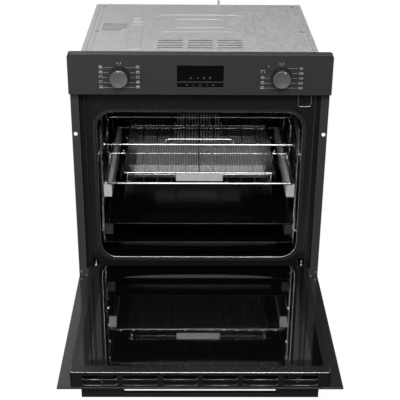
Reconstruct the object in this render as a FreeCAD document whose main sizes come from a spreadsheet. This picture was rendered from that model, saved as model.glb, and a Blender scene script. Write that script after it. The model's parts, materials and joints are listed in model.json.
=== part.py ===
"""Built-in wall oven with a drop-down door, as an assembly of separate sub-parts.

Millimetres. X runs to the right, Y runs back from the front plane of the fixing flange, Z runs up
from the rails that the oven stands on. The door is open, and the racks and trays are pushed
home. The door's own sizes are given as it lies when open, flat, with its outer glass underneath.
"""
import FreeCAD
import Part
import Sketcher

import math
import os
import re

DIMENSIONS = {
    # front
    "front_width": 595, "front_top": 595, "flange_bottom": 11.5, "sheet": 1.2,
    "seat_step": 0.2, "bracket_screw": 1.5, "latch_corner": 3, "latch_x": 243,
    "latch_width": 32, "latch_bottom": 458,
    "panel_bottom": 501, "panel_depth": 26, "panel_corner": 7, "panel_wall": 2,
    "recess_width": 558.8, "recess_bottom": 23, "recess_top": 495, "recess_depth": 20,
    "bead_middle": 268, "bead_width": 5, "bead_height": 3, "bead_bottom": 62,
    "fixing_x": 289, "fixing_z": 395, "fixing_radius": 4.5,
    # cavity
    "cavity_width": 485, "cavity_bottom": 58, "cavity_top": 444, "cavity_rear": 435,
    "cavity_corner": 40, "seal_gap": 2, "seal_width": 6, "seal_front": 13.45,
    # case
    "case_width": 558.4, "case_rear": 534, "case_top": 565, "case_floor": 11.5, "case_sheet": 0.8,
    "top_cover_width": 534.8, "rail_span": 400, "rail_depth": 40,
    "insulation_width": 548, "insulation_rear": 462, "insulation_bottom": 30,
    "insulation_top": 460, "element_gap": 12,
    # control panel
    "knob_x": 181.5, "knob_z": 545, "knob_radius": 20, "knob_height": 24.5,
    "collar_radius": 23.2, "collar_height": 1.6, "shaft_radius": 3, "shaft_clearance": 0.08,
    "switch_size": 36, "switch_front": 6, "switch_rear": 46,
    "display_width": 104.5, "display_bottom": 519.5, "display_top": 570.6, "glass_thick": 3,
    "screen_depth": 9, "board_margin": 6, "board_thick": 2, "moulding_corner": 1.5,
    # door, lying open
    "door_front": -462.5, "door_back": -1.6, "door_face": 11.7, "pane": 4, "door_box_width": 539,
    "door_box_top": 50.7, "cap_front": -459.5, "cap_rear": -435, "cap_top": 51.8, "door_box_back": -10,
    "inner_pane_width": 515, "middle_pane_width": 496, "middle_pane_bottom": 29,
    "profile_sheet": 1.5, "profile_width": 19, "vent_length": 72, "vent_height": 9.6, "vent_pitch": 83,
    "vent_margin": 4, "vent_row": 14.3,
    "handle_width": 498, "handle_front": -444, "handle_rear": -432, "handle_bottom": -22.7,
    "handle_gap": 319, "handle_bar": 9.4, "handle_screw_x": 205, "handle_screw": 2.5,
    "spacer_x": 200, "spacer_width": 30, "spacer_length": 10,
    # hinges
    "hinge_x": 257, "pivot_y": -3.65, "pivot_z": 34, "arm_thick": 4, "arm_nose": 5.3,
    "arm_tail": 74, "pin_radius": 2.5, "hinge_box_width": 19, "hinge_box_rear": 165,
    "hinge_box_bottom": 23.5, "hinge_box_top": 57, "coil_pitch": 3.3, "coil_radius": 5.6,
    "coil_wire": 1.8, "channel_length": 150, "channel_gap": 0.6,
    # shelf ladders and sliding shelves
    "level_pitch": 51.5, "first_rung": 99.2, "rung_radius": 2, "post_radius": 2.5,
    "rung_x": 232.4, "post_x": 236.5, "ladder_front": 45, "ladder_rear": 395,
    "shelf_width": 467.2, "bar_radius": 3, "wire_radius": 1.5, "wire_pitch": 33.6,
    "rack_depth": 368, "upper_rack_front": 16.8, "upper_rack_z": 362, "lower_rack_front": 22.4,
    "lower_rack_z": 258.9, "rail_height": 33.5, "rail_outer_x": 230.2, "rail_inner_x": 211.5,
    "rail_middle_x": 222.6, "rail_near_x": 221.8, "rail_length": 370, "rail_front": 33,
    "rail_sheet": 1.5, "rack_rail_top": 255.6, "tray_rail_top": 152.8, "shallow_rim": 153.1,
    "deep_rim": 101.5, "shallow_front": 14, "shallow_depth": 20, "deep_front": 14,
    "deep_depth": 38, "tray_length": 372, "tray_sheet": 1, "tray_taper": 9, "tray_rim": 26,
    "tray_end": 14, "tray_corner": 9, "lip_width": 380, "lip_drop": 11, "lip_corner": 7,
    # basket
    "basket_width": 362, "basket_front": 19.4, "basket_length": 311, "basket_rim": 286,
    "basket_base": 264.9, "basket_inset": 23, "mesh_thick": 1.2, "plate_width": 112,
    "plate_bottom": 268, "basket_wire": 1.8,
    # convection fan, ring element, lamp
    "fan_z": 251, "fan_radius": 66, "fan_front": 407, "fan_depth": 18, "fan_cover_width": 260,
    "fan_cover_height": 214, "fan_cover_front": 400, "fan_cover_corner": 18,
    "fan_motor_radius": 36,
    "fan_motor_depth": 46, "ring_radius": 90, "element_radius": 3.3, "ring_y": 421,
    "grill_z": 428, "lamp_x": 168, "lamp_z": 392, "lamp_radius": 22, "bulb_radius": 6.5,
    "fan_hub": 9, "blade_root": 34,
    # cooling blower
    "blower_y": 330, "blower_z": 508, "blower_radius": 27, "blower_length": 180,
    "blower_case": 38, "blower_motor_length": 42, "blower_wall_gap": 6, "vane_root": 21,
    "blade_thick": 1.2,
    # mains connection
    "terminal_x": -190, "terminal_z": 95, "terminal_width": 74, "terminal_height": 52,
    "terminal_depth": 52, "terminal_wall": 2, "cable_radius": 5, "gland_rear": 546,
    # vents, screws and roof
    "roof_pad_front": 264, "roof_pad_rear": 408, "roof_pad_width": 210, "roof_pad_height": 1.5,
    "roof_pad_corner": 22, "screw_radius": 2, "screw_head": 4, "tip_x": 55, "tip_width": 7, "tip_height": 14,
}

document = FreeCAD.newDocument("WallOven")
sheet = document.addObject("Spreadsheet::Sheet", "Dims")
for row, (alias, number) in enumerate(DIMENSIONS.items(), 1):
    sheet.set(f"A{row}", str(number))
    sheet.setAlias(f"A{row}", alias)
document.recompute()

ALONG = {
    "X": FreeCAD.Rotation(FreeCAD.Vector(0, 1, 0), 90),
    "Y": FreeCAD.Rotation(FreeCAD.Vector(1, 0, 0), -90),
    "Z": FreeCAD.Rotation(),
}
nodes = {}


# ---------------------------------------------------------------- helpers

def size(alias):
    """The number in one cell of the sheet."""
    return float(sheet.get(alias))


def formula(text):
    """Spell a formula of dimension names the way an expression needs them."""
    return re.sub(r"[a-z_]{3,}", lambda name: "Dims." + name.group(), str(text))


def bind(item, **formulas):
    for name, text in formulas.items():
        item.setExpression(name, formula(text))
    return item


def place(item, x, y, z, turn=None):
    """Put an object's origin at three formulas, after an optional turn."""
    if turn:
        item.Placement = FreeCAD.Placement(FreeCAD.Vector(), turn)
    for axis, text in zip("xyz", (x, y, z)):
        item.setExpression("Placement.Base." + axis, formula(text))
    return item


def across(width):
    """The span of something of this width about the oven's middle plane."""
    return f"-({width}) / 2", f"({width}) / 2"


def around(middle, width):
    return f"({middle}) - ({width}) / 2", f"({middle}) + ({width}) / 2"


def block(x, y, z):
    """A box from its low and high formula along each axis."""
    item = document.addObject("Part::Box", "Block")
    spans = [f"({high}) - ({low})" for low, high in (x, y, z)]
    bind(item, Length=spans[0], Width=spans[1], Height=spans[2])
    return place(item, x[0], y[0], z[0])


def rod(axis, radius, span, centre):
    """A round bar along an axis; centre gives the other two coordinates in X, Y, Z order."""
    item = document.addObject("Part::Cylinder", "Rod")
    bind(item, Radius=radius, Height=f"({span[1]}) - ({span[0]})")
    base = list(centre)
    base.insert("XYZ".index(axis), span[0])
    return place(item, *base, turn=ALONG[axis])


def frustum(low, high, z):
    """A four-sided block that widens upwards; low and high are ((x, x), (y, y)) formulas."""
    item = document.addObject("Part::Wedge", "Frustum")
    (low_x, low_y), (high_x, high_y) = low, high
    bind(item, Xmin=low_x[0], Xmax=low_x[1], Zmin=f"-({low_y[1]})", Zmax=f"-({low_y[0]})",
         X2min=high_x[0], X2max=high_x[1], Z2min=f"-({high_y[1]})", Z2max=f"-({high_y[0]})",
         Ymin=z[0], Ymax=z[1])
    item.Placement = FreeCAD.Placement(FreeCAD.Vector(), ALONG["Y"].inverted())
    return item


def ring(axis, radius, thickness, centre):
    item = bind(document.addObject("Part::Torus", "Ring"), Radius1=radius, Radius2=thickness)
    return place(item, *centre, turn=ALONG[axis])


def join(*items):
    if len(items) == 1:
        return items[0]
    item = document.addObject("Part::MultiFuse", "Join")
    item.Shapes = list(items)
    return item


def cut(base, *tools):
    item = document.addObject("Part::Cut", "Cut")
    item.Base = base
    item.Tool = join(*tools)
    return item


def group(*items):
    """Separate solids that share one node."""
    item = document.addObject("Part::Compound", "Group")
    item.Links = list(items)
    return item


def mirrored(item):
    """The same solid on the other side of the oven's middle plane."""
    copy = document.addObject("Part::Mirroring", "Mirrored")
    copy.Source = item
    copy.Normal = FreeCAD.Vector(1, 0, 0)
    return copy


def pair(item):
    return group(item, mirrored(item))


def rounded(item, axis, radius, keep=lambda middle: True):
    """Round the edges of a block that run along an axis, or those of them that keep picks."""
    document.recompute()
    direction = ALONG[axis].multVec(FreeCAD.Vector(0, 0, 1))
    fillet = document.addObject("Part::Fillet", "Rounded")
    fillet.Base = item
    fillet.Edges = [
        (number, size(radius), size(radius))
        for number, edge in enumerate(item.Shape.Edges, 1)
        if abs(edge.tangentAt(edge.FirstParameter).dot(direction)) > 0.999 and keep(edge.CenterOfMass)
    ]
    return fillet


def rounded_prism(x, y, z, radius):
    """A prism along Y whose section is a rectangle with round corners of any radius formula."""
    inner = [(f"({low}) + ({radius})", f"({high}) - ({radius})") for low, high in (x, z)]
    parts = [block(inner[0], y, z), block(x, y, inner[1])]
    for corner_x in inner[0]:
        for corner_z in inner[1]:
            parts.append(rod("Y", radius, y, (corner_x, corner_z)))
    return join(*parts)


def feature(shape):
    """An object for a shape made directly with Part's functions."""
    item = document.addObject("Part::Feature", "Shape")
    item.Shape = shape
    return item


def bent_wire(points, bend, radius):
    """A round wire along straight runs joined by tangent arcs of one bend radius."""
    points = [FreeCAD.Vector(*point) for point in points]
    edges = []
    start = points[0]
    for before, corner, after in zip(points, points[1:], points[2:]):
        incoming = (before - corner).normalize()
        outgoing = (after - corner).normalize()
        half = incoming.getAngle(outgoing) / 2
        reach = bend / math.tan(half)
        first = corner + incoming * reach
        last = corner + outgoing * reach
        middle = corner + (incoming + outgoing).normalize() * (bend / math.sin(half) - bend)
        edges += [Part.LineSegment(start, first).toShape(), Part.Arc(first, middle, last).toShape()]
        start = last
    edges.append(Part.LineSegment(start, points[-1]).toShape())
    path = Part.Wire(edges)
    direction = (points[1] - points[0]).normalize()
    section = Part.Wire(Part.Circle(points[0], direction, radius).toShape())
    return path.makePipeShell([section], True, True)


def node(name, item):
    """Name a sub-part; its label names its file."""
    item.Label = name
    nodes[name] = item
    return item


def new_body(x=0, y=0, z=0):
    body = document.addObject("PartDesign::Body", "Body")
    return place(body, x, y, z)


def origin_of(body, role):
    return next(item for item in body.Origin.OriginFeatures if item.Role == role)


def sketch_on(body, role, offset=0):
    """A sketch on one of the body's own planes, moved along the plane's normal."""
    sketch = body.newObject("Sketcher::SketchObject", "Sketch")
    sketch.AttachmentSupport = (origin_of(body, role), [""])
    sketch.MapMode = "FlatFace"
    sketch.setExpression("AttachmentOffset.Base.z", formula(offset))
    return sketch


def outline(sketch, corners):
    """A closed outline of straight lines, each corner held at its own two formulas."""
    count = len(corners)
    start = [FreeCAD.Vector(10 + 7 * math.cos(6.28 * n / count), 10 + 7 * math.sin(6.28 * n / count))
             for n in range(count)]
    for n in range(count):
        sketch.addGeometry(Part.LineSegment(start[n], start[(n + 1) % count]))
    for n in range(count):
        sketch.addConstraint(Sketcher.Constraint("Coincident", n, 2, (n + 1) % count, 1))
    for n, corner in enumerate(corners):
        for kind, text, now in zip(("DistanceX", "DistanceY"), corner, (start[n].x, start[n].y)):
            index = sketch.addConstraint(Sketcher.Constraint(kind, -1, 1, n, 1, now))
            sketch.setExpression(f"Constraints[{index}]", formula(text))
    return sketch


def circle(sketch, radius, x=0, y=0):
    """A circle at two formulas from the sketch's origin."""
    middle = FreeCAD.Vector(5, 5)
    sketch.addGeometry(Part.Circle(middle, FreeCAD.Vector(0, 0, 1), 3))
    for kind, text, now in (("DistanceX", x, middle.x), ("DistanceY", y, middle.y)):
        index = sketch.addConstraint(Sketcher.Constraint(kind, -1, 1, 0, 3, now))
        sketch.setExpression(f"Constraints[{index}]", formula(text))
    index = sketch.addConstraint(Sketcher.Constraint("Radius", 0, 3))
    sketch.setExpression(f"Constraints[{index}]", formula(radius))
    return sketch


def pad(body, sketch, length, back=False):
    item = body.newObject("PartDesign::Pad", "Pad")
    item.Profile = sketch
    item.Reversed = back
    return bind(item, Length=length)


def pocket(body, sketch, depth, back=False):
    item = body.newObject("PartDesign::Pocket", "Pocket")
    item.Profile = sketch
    item.Reversed = back
    return bind(item, Length=depth)


def revolve(body, sketch, axis):
    item = body.newObject("PartDesign::Revolution", "Revolution")
    item.Profile = sketch
    item.ReferenceAxis = (origin_of(body, axis), [""])
    item.Angle = 360
    return item


def spread(body, feature_item, axis, count):
    """Repeat a feature round an axis of its body."""
    document.recompute()
    item = body.newObject("PartDesign::PolarPattern", "Pattern")
    item.Originals = [feature_item]
    item.Axis = (origin_of(body, axis), [""])
    item.Angle = 360
    item.Occurrences = count
    body.Tip = item
    return item


# ---------------------------------------------------------------- front and control panel

BRACKET_SCREWS = ((292.5, 27), (280, 15.8))


def front_frame():
    """Pressed frame: flange, recess that the door nests in, and the cavity's mouth."""
    flange = block(across("front_width"), ("0", "sheet"), ("flange_bottom", "front_top - 2"))
    step = block(across("recess_width"), ("sheet - seat_step", "2 * sheet"),
                 ("flange_bottom - 1", "front_top"))
    recess_z = ("recess_bottom", "recess_top")
    recess = block(across("recess_width"), ("0", "recess_depth"), recess_z)
    hollow = block(across("recess_width - 2 * sheet"), ("-1", "recess_depth - sheet"),
                   ("recess_bottom + sheet", "recess_top - sheet"))
    window = block(across("470"), ("-1", "2 * sheet"), ("panel_bottom + 12", "front_top - 10"))
    outlet = block(across("440"), ("-1", "3"), ("recess_top + 0.8", "panel_bottom - 0.8"))
    mouth = rounded_prism(across("cavity_width"), ("0", "recess_depth + 1"),
                          ("cavity_bottom", "cavity_top"), "cavity_corner")
    shell = cut(join(cut(flange, step), recess), hollow, window, outlet, mouth)
    beads, openings = [], []
    for side in (-1, 1):
        bead = block(around(f"{side} * bead_middle", "bead_width"),
                     ("recess_depth - sheet - bead_height", "recess_depth - sheet"),
                     ("bead_bottom", "recess_top - sheet"))
        beads.append(bead)
        openings.append(block(around(f"{side} * hinge_x", "hinge_box_width - 2"),
                              ("recess_depth - 2 * sheet", "recess_depth + 1"),
                              ("hinge_box_bottom + 2", "hinge_box_top - 3")))
        openings.append(rod("Y", "fixing_radius", ("-1", "2 * sheet"), (f"{side} * fixing_x", "fixing_z")))
        for x, z in BRACKET_SCREWS:
            openings.append(rod("Y", "bracket_screw", ("-1", "2 * sheet"), (f"{side} * {x}", z)))
    node("front_frame", cut(join(shell, *beads), *openings))


def control_panel():
    """Sheet-metal fascia, open at the back, with windows for the display and the knobs' shafts."""
    body = new_body()
    plate = sketch_on(body, "XZ_Plane")
    x = across("front_width")
    outline(plate, [(x[0], "panel_bottom"), (x[1], "panel_bottom"),
                    (x[1], "front_top"), (x[0], "front_top")])
    block_pad = pad(body, plate, "panel_depth")
    document.recompute()
    corners = body.newObject("PartDesign::Fillet", "Corners")
    edges = [f"Edge{number}" for number, edge in enumerate(block_pad.Shape.Edges, 1)
             if abs(edge.tangentAt(edge.FirstParameter).y) > 0.999 and edge.CenterOfMass.z > 560]
    corners.Base = (block_pad, edges)
    bind(corners, Radius="panel_corner")
    inner = across("front_width - 2 * panel_wall")
    z = ("panel_bottom + panel_wall", "front_top - panel_wall")
    hollow = sketch_on(body, "XZ_Plane")
    outline(hollow, [(inner[0], z[0]), (inner[1], z[0]), (inner[1], z[1]), (inner[0], z[1])])
    pocket(body, hollow, "panel_depth - panel_wall", back=True)
    x = across("display_width")
    window = sketch_on(body, "XZ_Plane")
    outline(window, [(x[0], "display_bottom"), (x[1], "display_bottom"), (x[1], "display_top"),
                     (x[0], "display_top")])
    pocket(body, window, "panel_depth + 1", back=True)
    for side in (-1, 1):
        hole = circle(sketch_on(body, "XZ_Plane"), "shaft_radius + 1.5", f"{side} * knob_x", "knob_z")
        pocket(body, hole, "panel_depth + 1", back=True)
    node("control_panel", body)


def display():
    """Glass of the clock with its touch keys, and the electronics behind it."""
    glass_y = ("-panel_depth - 0.2", "-panel_depth + glass_thick")
    glass = block(across("display_width - 0.4"), glass_y, ("display_bottom + 0.2", "display_top - 0.2"))
    node("display_glass", rounded(glass, "Y", "moulding_corner"))
    screen_y = (glass_y[1], f"{glass_y[1]} + screen_depth")
    board = block(across("display_width + 30"), (screen_y[1], f"{screen_y[1]} + board_thick"),
                  ("display_bottom - board_margin", "display_top + board_margin"))
    screen = block(across("display_width - 14"), screen_y, ("display_bottom + 3", "display_top - 3"))
    node("timer_module", join(board, screen))


def knob(name, side):
    """Turned knob with a dished face; its socket takes the flat-nosed shaft."""
    body = new_body(f"{side} * knob_x", "-panel_depth - collar_height", "knob_z")
    section = sketch_on(body, "XY_Plane")
    outline(section, [("0", "-knob_height + 1.6"), ("knob_radius - 3.5", "-knob_height + 0.9"),
                      ("knob_radius - 2.4", "-knob_height"), ("knob_radius - 1.2", "-knob_height"),
                      ("knob_radius - 0.4", "-knob_height + 0.8"), ("knob_radius", "-0.6"),
                      ("knob_radius - 0.6", "0"), ("shaft_radius", "0"), ("shaft_radius", "-14"),
                      ("0", "-14")])
    revolve(body, section, "Y_Axis")
    node(name, body)


def controls():
    """Knobs, their collars, and the rotary switch and thermostat with their shafts."""
    knob("left_knob", -1)
    knob("right_knob", 1)
    y = ("-panel_depth - collar_height + 0.3", "-panel_depth")
    collars = []
    for side in (-1, 1):
        centre = (f"{side} * knob_x", "knob_z")
        collars.append(cut(rod("Y", "collar_radius", y, centre),
                           rod("Y", "shaft_radius + 1.5", ("-panel_depth - 3", "-panel_depth + 1"), centre)))
    node("knob_collars", group(*collars))
    for side, switch, shaft in ((-1, "function_selector", "selector_shaft"),
                                (1, "thermostat", "thermostat_shaft")):
        centre = (f"{side} * knob_x", "knob_z")
        case = block(around(centre[0], "switch_size"), ("switch_front", "switch_rear"),
                     around("knob_z", "switch_size"))
        neck = rod("Y", "shaft_radius + 4", ("-4", "switch_front"), centre)
        bore = rod("Y", "shaft_radius + shaft_clearance", ("-5", "switch_front + 12"), centre)
        node(switch, cut(join(rounded(case, "Y", "moulding_corner"), neck), bore))
        shaft_y = ("-panel_depth - collar_height - 14", "switch_front + 11")
        node(shaft, rod("Y", "shaft_radius", shaft_y, centre))


def trim():
    """Corner brackets, the plate under the panel and the rubber seal round the cavity's mouth."""
    bracket = block(("272", "297.5"), ("-1", "0"), ("flange_bottom", "36"))
    bracket = cut(rounded(bracket, "Y", "panel_corner", lambda middle: middle.x < 280 and middle.z > 20),
                  *[rod("Y", "bracket_screw", ("-2", "1"), (x, z)) for x, z in BRACKET_SCREWS])
    node("corner_brackets", pair(bracket))
    plate = block(around("latch_x", "latch_width"), ("recess_depth - sheet - 2.5", "recess_depth - sheet"),
                  ("latch_bottom", "recess_top - sheet"))
    node("latch_plate", rounded(plate, "Y", "latch_corner", lambda middle: middle.z < size("latch_bottom") + 1))
    y = ("seal_front", "recess_depth - sheet")
    spans = []
    for gap in ("seal_gap", "(seal_gap + seal_width)"):
        z = (f"cavity_bottom - {gap}", f"cavity_top + {gap}")
        spans.append((across(f"cavity_width + 2 * {gap}"), z))
    outer = rounded_prism(spans[1][0], y, spans[1][1], "cavity_corner + seal_gap + seal_width")
    inner = rounded_prism(spans[0][0], ("0", "recess_depth"), spans[0][1], "cavity_corner + seal_gap")
    node("door_seal", cut(outer, inner))


# ---------------------------------------------------------------- cavity

def cavity():
    """Enamelled liner, the wool round it, and what is fixed in its rear wall and roof."""
    y = ("recess_depth", "cavity_rear + sheet")
    outer = rounded_prism(across("cavity_width + 2 * sheet"), y,
                          ("cavity_bottom - sheet", "cavity_top + sheet"), "cavity_corner + sheet")
    inner = rounded_prism(across("cavity_width"), ("recess_depth - 1", "cavity_rear"),
                          ("cavity_bottom", "cavity_top"), "cavity_corner")
    shaft_hole = rod("Y", "7", ("cavity_rear - 1", "cavity_rear + 3"), ("0", "fan_z"))
    lamp_hole = rod("Y", "lamp_radius - 2", ("cavity_rear - 1", "cavity_rear + 3"), ("lamp_x", "lamp_z"))
    node("cavity_liner", cut(outer, inner, shaft_hole, lamp_hole))
    wool = block(across("insulation_width"), ("recess_depth + 0.4", "insulation_rear"),
                 ("insulation_bottom", "insulation_top"))
    liner_room = block(across("cavity_width + 2 * sheet + 0.6"), ("0", "cavity_rear + sheet + 0.3"),
                       ("cavity_bottom - element_gap", "cavity_top + sheet + 0.3"))
    holes = [block(around(f"{side} * hinge_x", "hinge_box_width + 2"), ("0", "hinge_box_rear + 3"),
                   ("0", "hinge_box_top + 2")) for side in (-1, 1)]
    rear = ("cavity_rear", "insulation_rear + 1")
    holes += [rod("Y", "8", rear, ("0", "fan_z")), rod("Y", "lamp_radius - 1.5", rear, ("lamp_x", "lamp_z"))]
    node("insulation", cut(wool, liner_room, *holes))


def fan_cover():
    """Pressed cover over the fan, with two bands of upright slots and a slotted rim."""
    x = across("fan_cover_width")
    z = around("fan_z", "fan_cover_height")
    case = rounded(block(x, ("fan_cover_front", "cavity_rear"), z), "Y", "fan_cover_corner")
    hollow = block(across("fan_cover_width - 2 * sheet"), ("fan_cover_front + sheet", "cavity_rear + 1"),
                   around("fan_z", "fan_cover_height - 2 * sheet"))
    front = ("fan_cover_front - 1", "fan_cover_front + 3")
    slots = []
    for column in range(-8, 9):
        for band in (-1, 1):
            slots.append(block(around(f"{column} * 8", "3.4"), front, around(f"fan_z + {band} * 24", "36")))
    rim = ("fan_cover_front + 9", "cavity_rear - 8")
    for side in (-1, 1):
        for row in range(-3, 4):
            slots.append(block(around(f"{side} * fan_cover_width / 2", "5"), rim,
                               around(f"fan_z + {row} * 24", "14")))
    node("fan_cover", cut(case, rounded(hollow, "Y", "fan_cover_corner"), *slots))


def blade(body, plane, root, tip):
    """The outline of one straight blade, from its root to its tip."""
    low, high = "-blade_thick / 2", "blade_thick / 2"
    return outline(sketch_on(body, plane), [(root, low), (tip, low), (tip, high), (root, high)])


def convection_fan():
    """Bladed wheel and its shaft, and the motor behind the cavity."""
    body = new_body(0, "fan_front", "fan_z")
    for radius, length in (("fan_radius", "sheet"), ("fan_hub", "fan_depth"),
                           ("shaft_radius", "insulation_rear + 26 - fan_front")):
        pad(body, circle(sketch_on(body, "XZ_Plane"), radius), length, back=True)
    blade_pad = pad(body, blade(body, "XZ_Plane", "blade_root", "fan_radius - 1"), "fan_depth", back=True)
    spread(body, blade_pad, "Y_Axis", 12)
    node("convection_fan", body)
    y = ("insulation_rear + 2", "insulation_rear + 2 + fan_motor_depth")
    can = rod("Y", "fan_motor_radius", y, ("0", "fan_z"))
    ears = block(across("104"), ("insulation_rear", "insulation_rear + 3"), around("fan_z", "22"))
    bore = rod("Y", "shaft_radius + shaft_clearance", ("insulation_rear - 1", "insulation_rear + 27"),
               ("0", "fan_z"))
    node("fan_motor", cut(join(can, ears), bore))


def heating_elements():
    """Ring round the fan, grill under the roof and the heater under the floor."""
    thick = size("element_radius")
    loop = ring("Y", "ring_radius", "element_radius", ("0", "ring_y", "fan_z"))
    post = rod("Y", "element_radius", ("ring_y", "cavity_rear"), ("14", "fan_z + ring_radius - 1.1"))
    node("ring_element", join(loop, post, mirrored(post)))

    def serpentine(z, half, front, rear, ends, legs):
        pitch = 2 * half / (legs - 1)
        points = []
        for leg in range(legs):
            x = -half + leg * pitch
            run = [(x, rear, z), (x, front, z)]
            points += run if leg % 2 == 0 else run[::-1]
        points[0] = (-half, ends, z)
        points[-1] = (half, ends, z)
        return points, pitch / 2 * 0.98

    route, bend = serpentine(size("grill_z"), 170, 70, 375, size("cavity_rear"), 6)
    node("grill_element", feature(bent_wire(route, bend, thick)))
    route, bend = serpentine(size("cavity_bottom") - size("sheet") - thick - 0.2, 180, 60, 390, 410, 4)
    node("lower_element", feature(bent_wire(route, bend, thick)))


def lamp():
    """Glass cover on the rear wall, and the holder with its bulb behind it."""
    centre = ("lamp_x", "lamp_z")
    skirt = rod("Y", "lamp_radius + 4", ("cavity_rear - 5", "cavity_rear"), centre)
    dome = rod("Y", "lamp_radius", ("cavity_rear - 13", "cavity_rear"), centre)
    room = rod("Y", "lamp_radius - 2", ("cavity_rear - 11", "cavity_rear + 1"), centre)
    node("lamp_lens", cut(join(skirt, dome), room))
    holder = rod("Y", "lamp_radius - 2", ("cavity_rear", "insulation_rear + 12"), centre)
    bulb = rod("Y", "bulb_radius", ("cavity_rear - 8", "cavity_rear"), centre)
    node("oven_lamp", join(holder, bulb))


def ladders():
    """Wire ladders on the side walls: three posts and six rungs, each turned in at the front."""
    parts = []
    for y in ("ladder_front", "(ladder_front + ladder_rear) / 2", "ladder_rear"):
        parts.append(rod("Z", "post_radius", ("cavity_bottom + 24", "cavity_top - 52"), ("post_x", y)))
    for level in range(6):
        rung = rod("Y", "rung_radius", ("ladder_front - 12", "ladder_rear + 8"),
                   ("rung_x", f"first_rung + {level} * level_pitch"))
        parts.append(rung)
    studs = [rod("X", "2", ("post_x", "cavity_width / 2"), (y, f"first_rung + {level} * level_pitch + 20"))
             for y in ("ladder_front", "ladder_rear") for level in (0, 4)]
    node("side_ladders", pair(join(*parts, *studs)))


# ---------------------------------------------------------------- sliding shelves

def channel(x_open, x_web, y, z):
    """C-shaped rail: web at x_web, flanges reaching to x_open."""
    web_outside = size(x_web) > size(x_open)
    low, high = (x_open, x_web) if web_outside else (x_web, x_open)
    outer = block((low, high), y, z)
    inner_x = (f"{low} + rail_sheet", f"{high} + 1")
    if web_outside:
        inner_x = (f"{low} - 1", f"{high} - rail_sheet")
    inner = block(inner_x, (f"{y[0]} - 1", f"{y[1]} + 1"),
                  (f"{z[0]} + rail_sheet", f"{z[1]} - rail_sheet"))
    return cut(outer, inner)


RAIL_SETS = (("rack", "rack_rail_top"), ("tray", "tray_rail_top"))


def runners():
    """Telescopic rails for the lower rack and the shallow tray: channel, middle slide and runner."""
    fixed = []
    y = ("rail_front", "rail_front + rail_length")
    for name, top in RAIL_SETS:
        z = (f"{top} - rail_height + 1.5", f"{top} - 1.5")
        fixed.append(channel("rail_middle_x", "rail_outer_x", y, z))
        slide = block(("rail_inner_x + 3", "rail_outer_x - 2"),
                      ("rail_front + 4", "rail_front + rail_length - 4"),
                      (f"{top} - rail_height + 8", f"{top} - 8"))
        node(f"{name}_rail_slides", pair(slide))
        z = (f"{top} - rail_height", top)
        moving = channel("rail_near_x", "rail_inner_x", y, z)
        cap = block(("rail_inner_x", "rail_outer_x + 0.8"), ("rail_front - 9", "rail_front - 0.4"), z)
        cap = join(cap, block(("rail_inner_x", "rail_near_x"), ("rail_front - 9", "rail_front + 1"), z))
        node(f"{name}_rail_runners", pair(join(moving, cap)))
    node("rail_channels", group(*[pair(item) for item in fixed]))


def wire_rack(name, front, z, lip):
    """Chromed wire shelf: a bent rim, a middle bar, thirteen wires and a lip at the front."""
    half = size("shelf_width") / 2 - size("bar_radius")
    first, depth, height = size(front), size("rack_depth"), size(z)
    rear = first + depth
    corners = [(0, first, height), (half, first, height), (half, rear, height), (-half, rear, height),
               (-half, first, height), (0, first, height)]
    parts = [feature(bent_wire(corners, 12, size("bar_radius")))]
    parts.append(rod("X", "post_radius", ("-shelf_width / 2 + 3", "shelf_width / 2 - 3"),
                     (f"{front} + rack_depth / 2", z)))
    for column in range(-6, 7):
        parts.append(rod("Y", "wire_radius", (front, f"{front} + rack_depth"),
                         (f"{column} * wire_pitch", f"{z} + bar_radius + wire_radius - 0.4")))
    if lip:
        up = [(-80, first + 2, height), (-80, first, height + 14),
              (80, first, height + 14), (80, first + 2, height)]
        parts.append(feature(bent_wire(up, 7, size("basket_wire"))))
    node(name, join(*parts))


def basket():
    """Air-fry basket: a woven tray hung in a rim of wire, on two feet, with a front plate."""
    x = across("basket_width")
    y = ("basket_front", "basket_front + basket_length")
    low_x = across("basket_width - 2 * basket_inset")
    low_y = (f"{y[0]} + basket_inset", f"{y[1]} - basket_inset")
    z = ("basket_base", "basket_rim")
    outer = frustum((low_x, low_y), (x, y), z)
    thick = "mesh_thick"
    inner = frustum((across("basket_width - 2 * basket_inset - 2 * mesh_thick"),
                     (f"{low_y[0]} + {thick}", f"{low_y[1]} - {thick}")),
                    (across("basket_width - 2 * mesh_thick"), (f"{y[0]} + {thick}", f"{y[1]} - {thick}")),
                    ("basket_base + mesh_thick", "basket_rim + 0.01"))
    node("basket_mesh", cut(outer, inner))
    a, b, wire = size("basket_width") / 2 + 0.6, size("basket_rim") + 2, size("basket_wire")
    front = size("basket_front")
    rear = front + size("basket_length")
    corners = [(0, front, b), (a, front, b), (a, rear, b), (-a, rear, b), (-a, front, b), (0, front, b)]
    rim = bent_wire(corners, 9, 2)
    parts = [feature(rim)]
    for side in (-1, 1):
        grip = (front + 107, front + 205)
        handle = [(side * (a - 1), grip[0], b), (side * (a + 9), grip[0], b + 16),
                  (side * (a + 9), grip[1], b + 16), (side * (a - 1), grip[1], b)]
        parts.append(feature(bent_wire(handle, 8, wire)))
        foot_x, foot_z = side * 172, size("lower_rack_z") + 7.9
        foot = [(foot_x, front - 3.4, b), (foot_x, front - 3.6, foot_z), (foot_x, front + 8, foot_z)]
        parts.append(feature(bent_wire(foot, 5, wire)))
    node("basket_frame", join(*parts))
    plate = block(across("plate_width"), ("basket_front - 3.5", "basket_front - 2"),
                  ("plate_bottom", "basket_rim + 1"))
    node("basket_plate", rounded(plate, "Y", "moulding_corner"))


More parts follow.
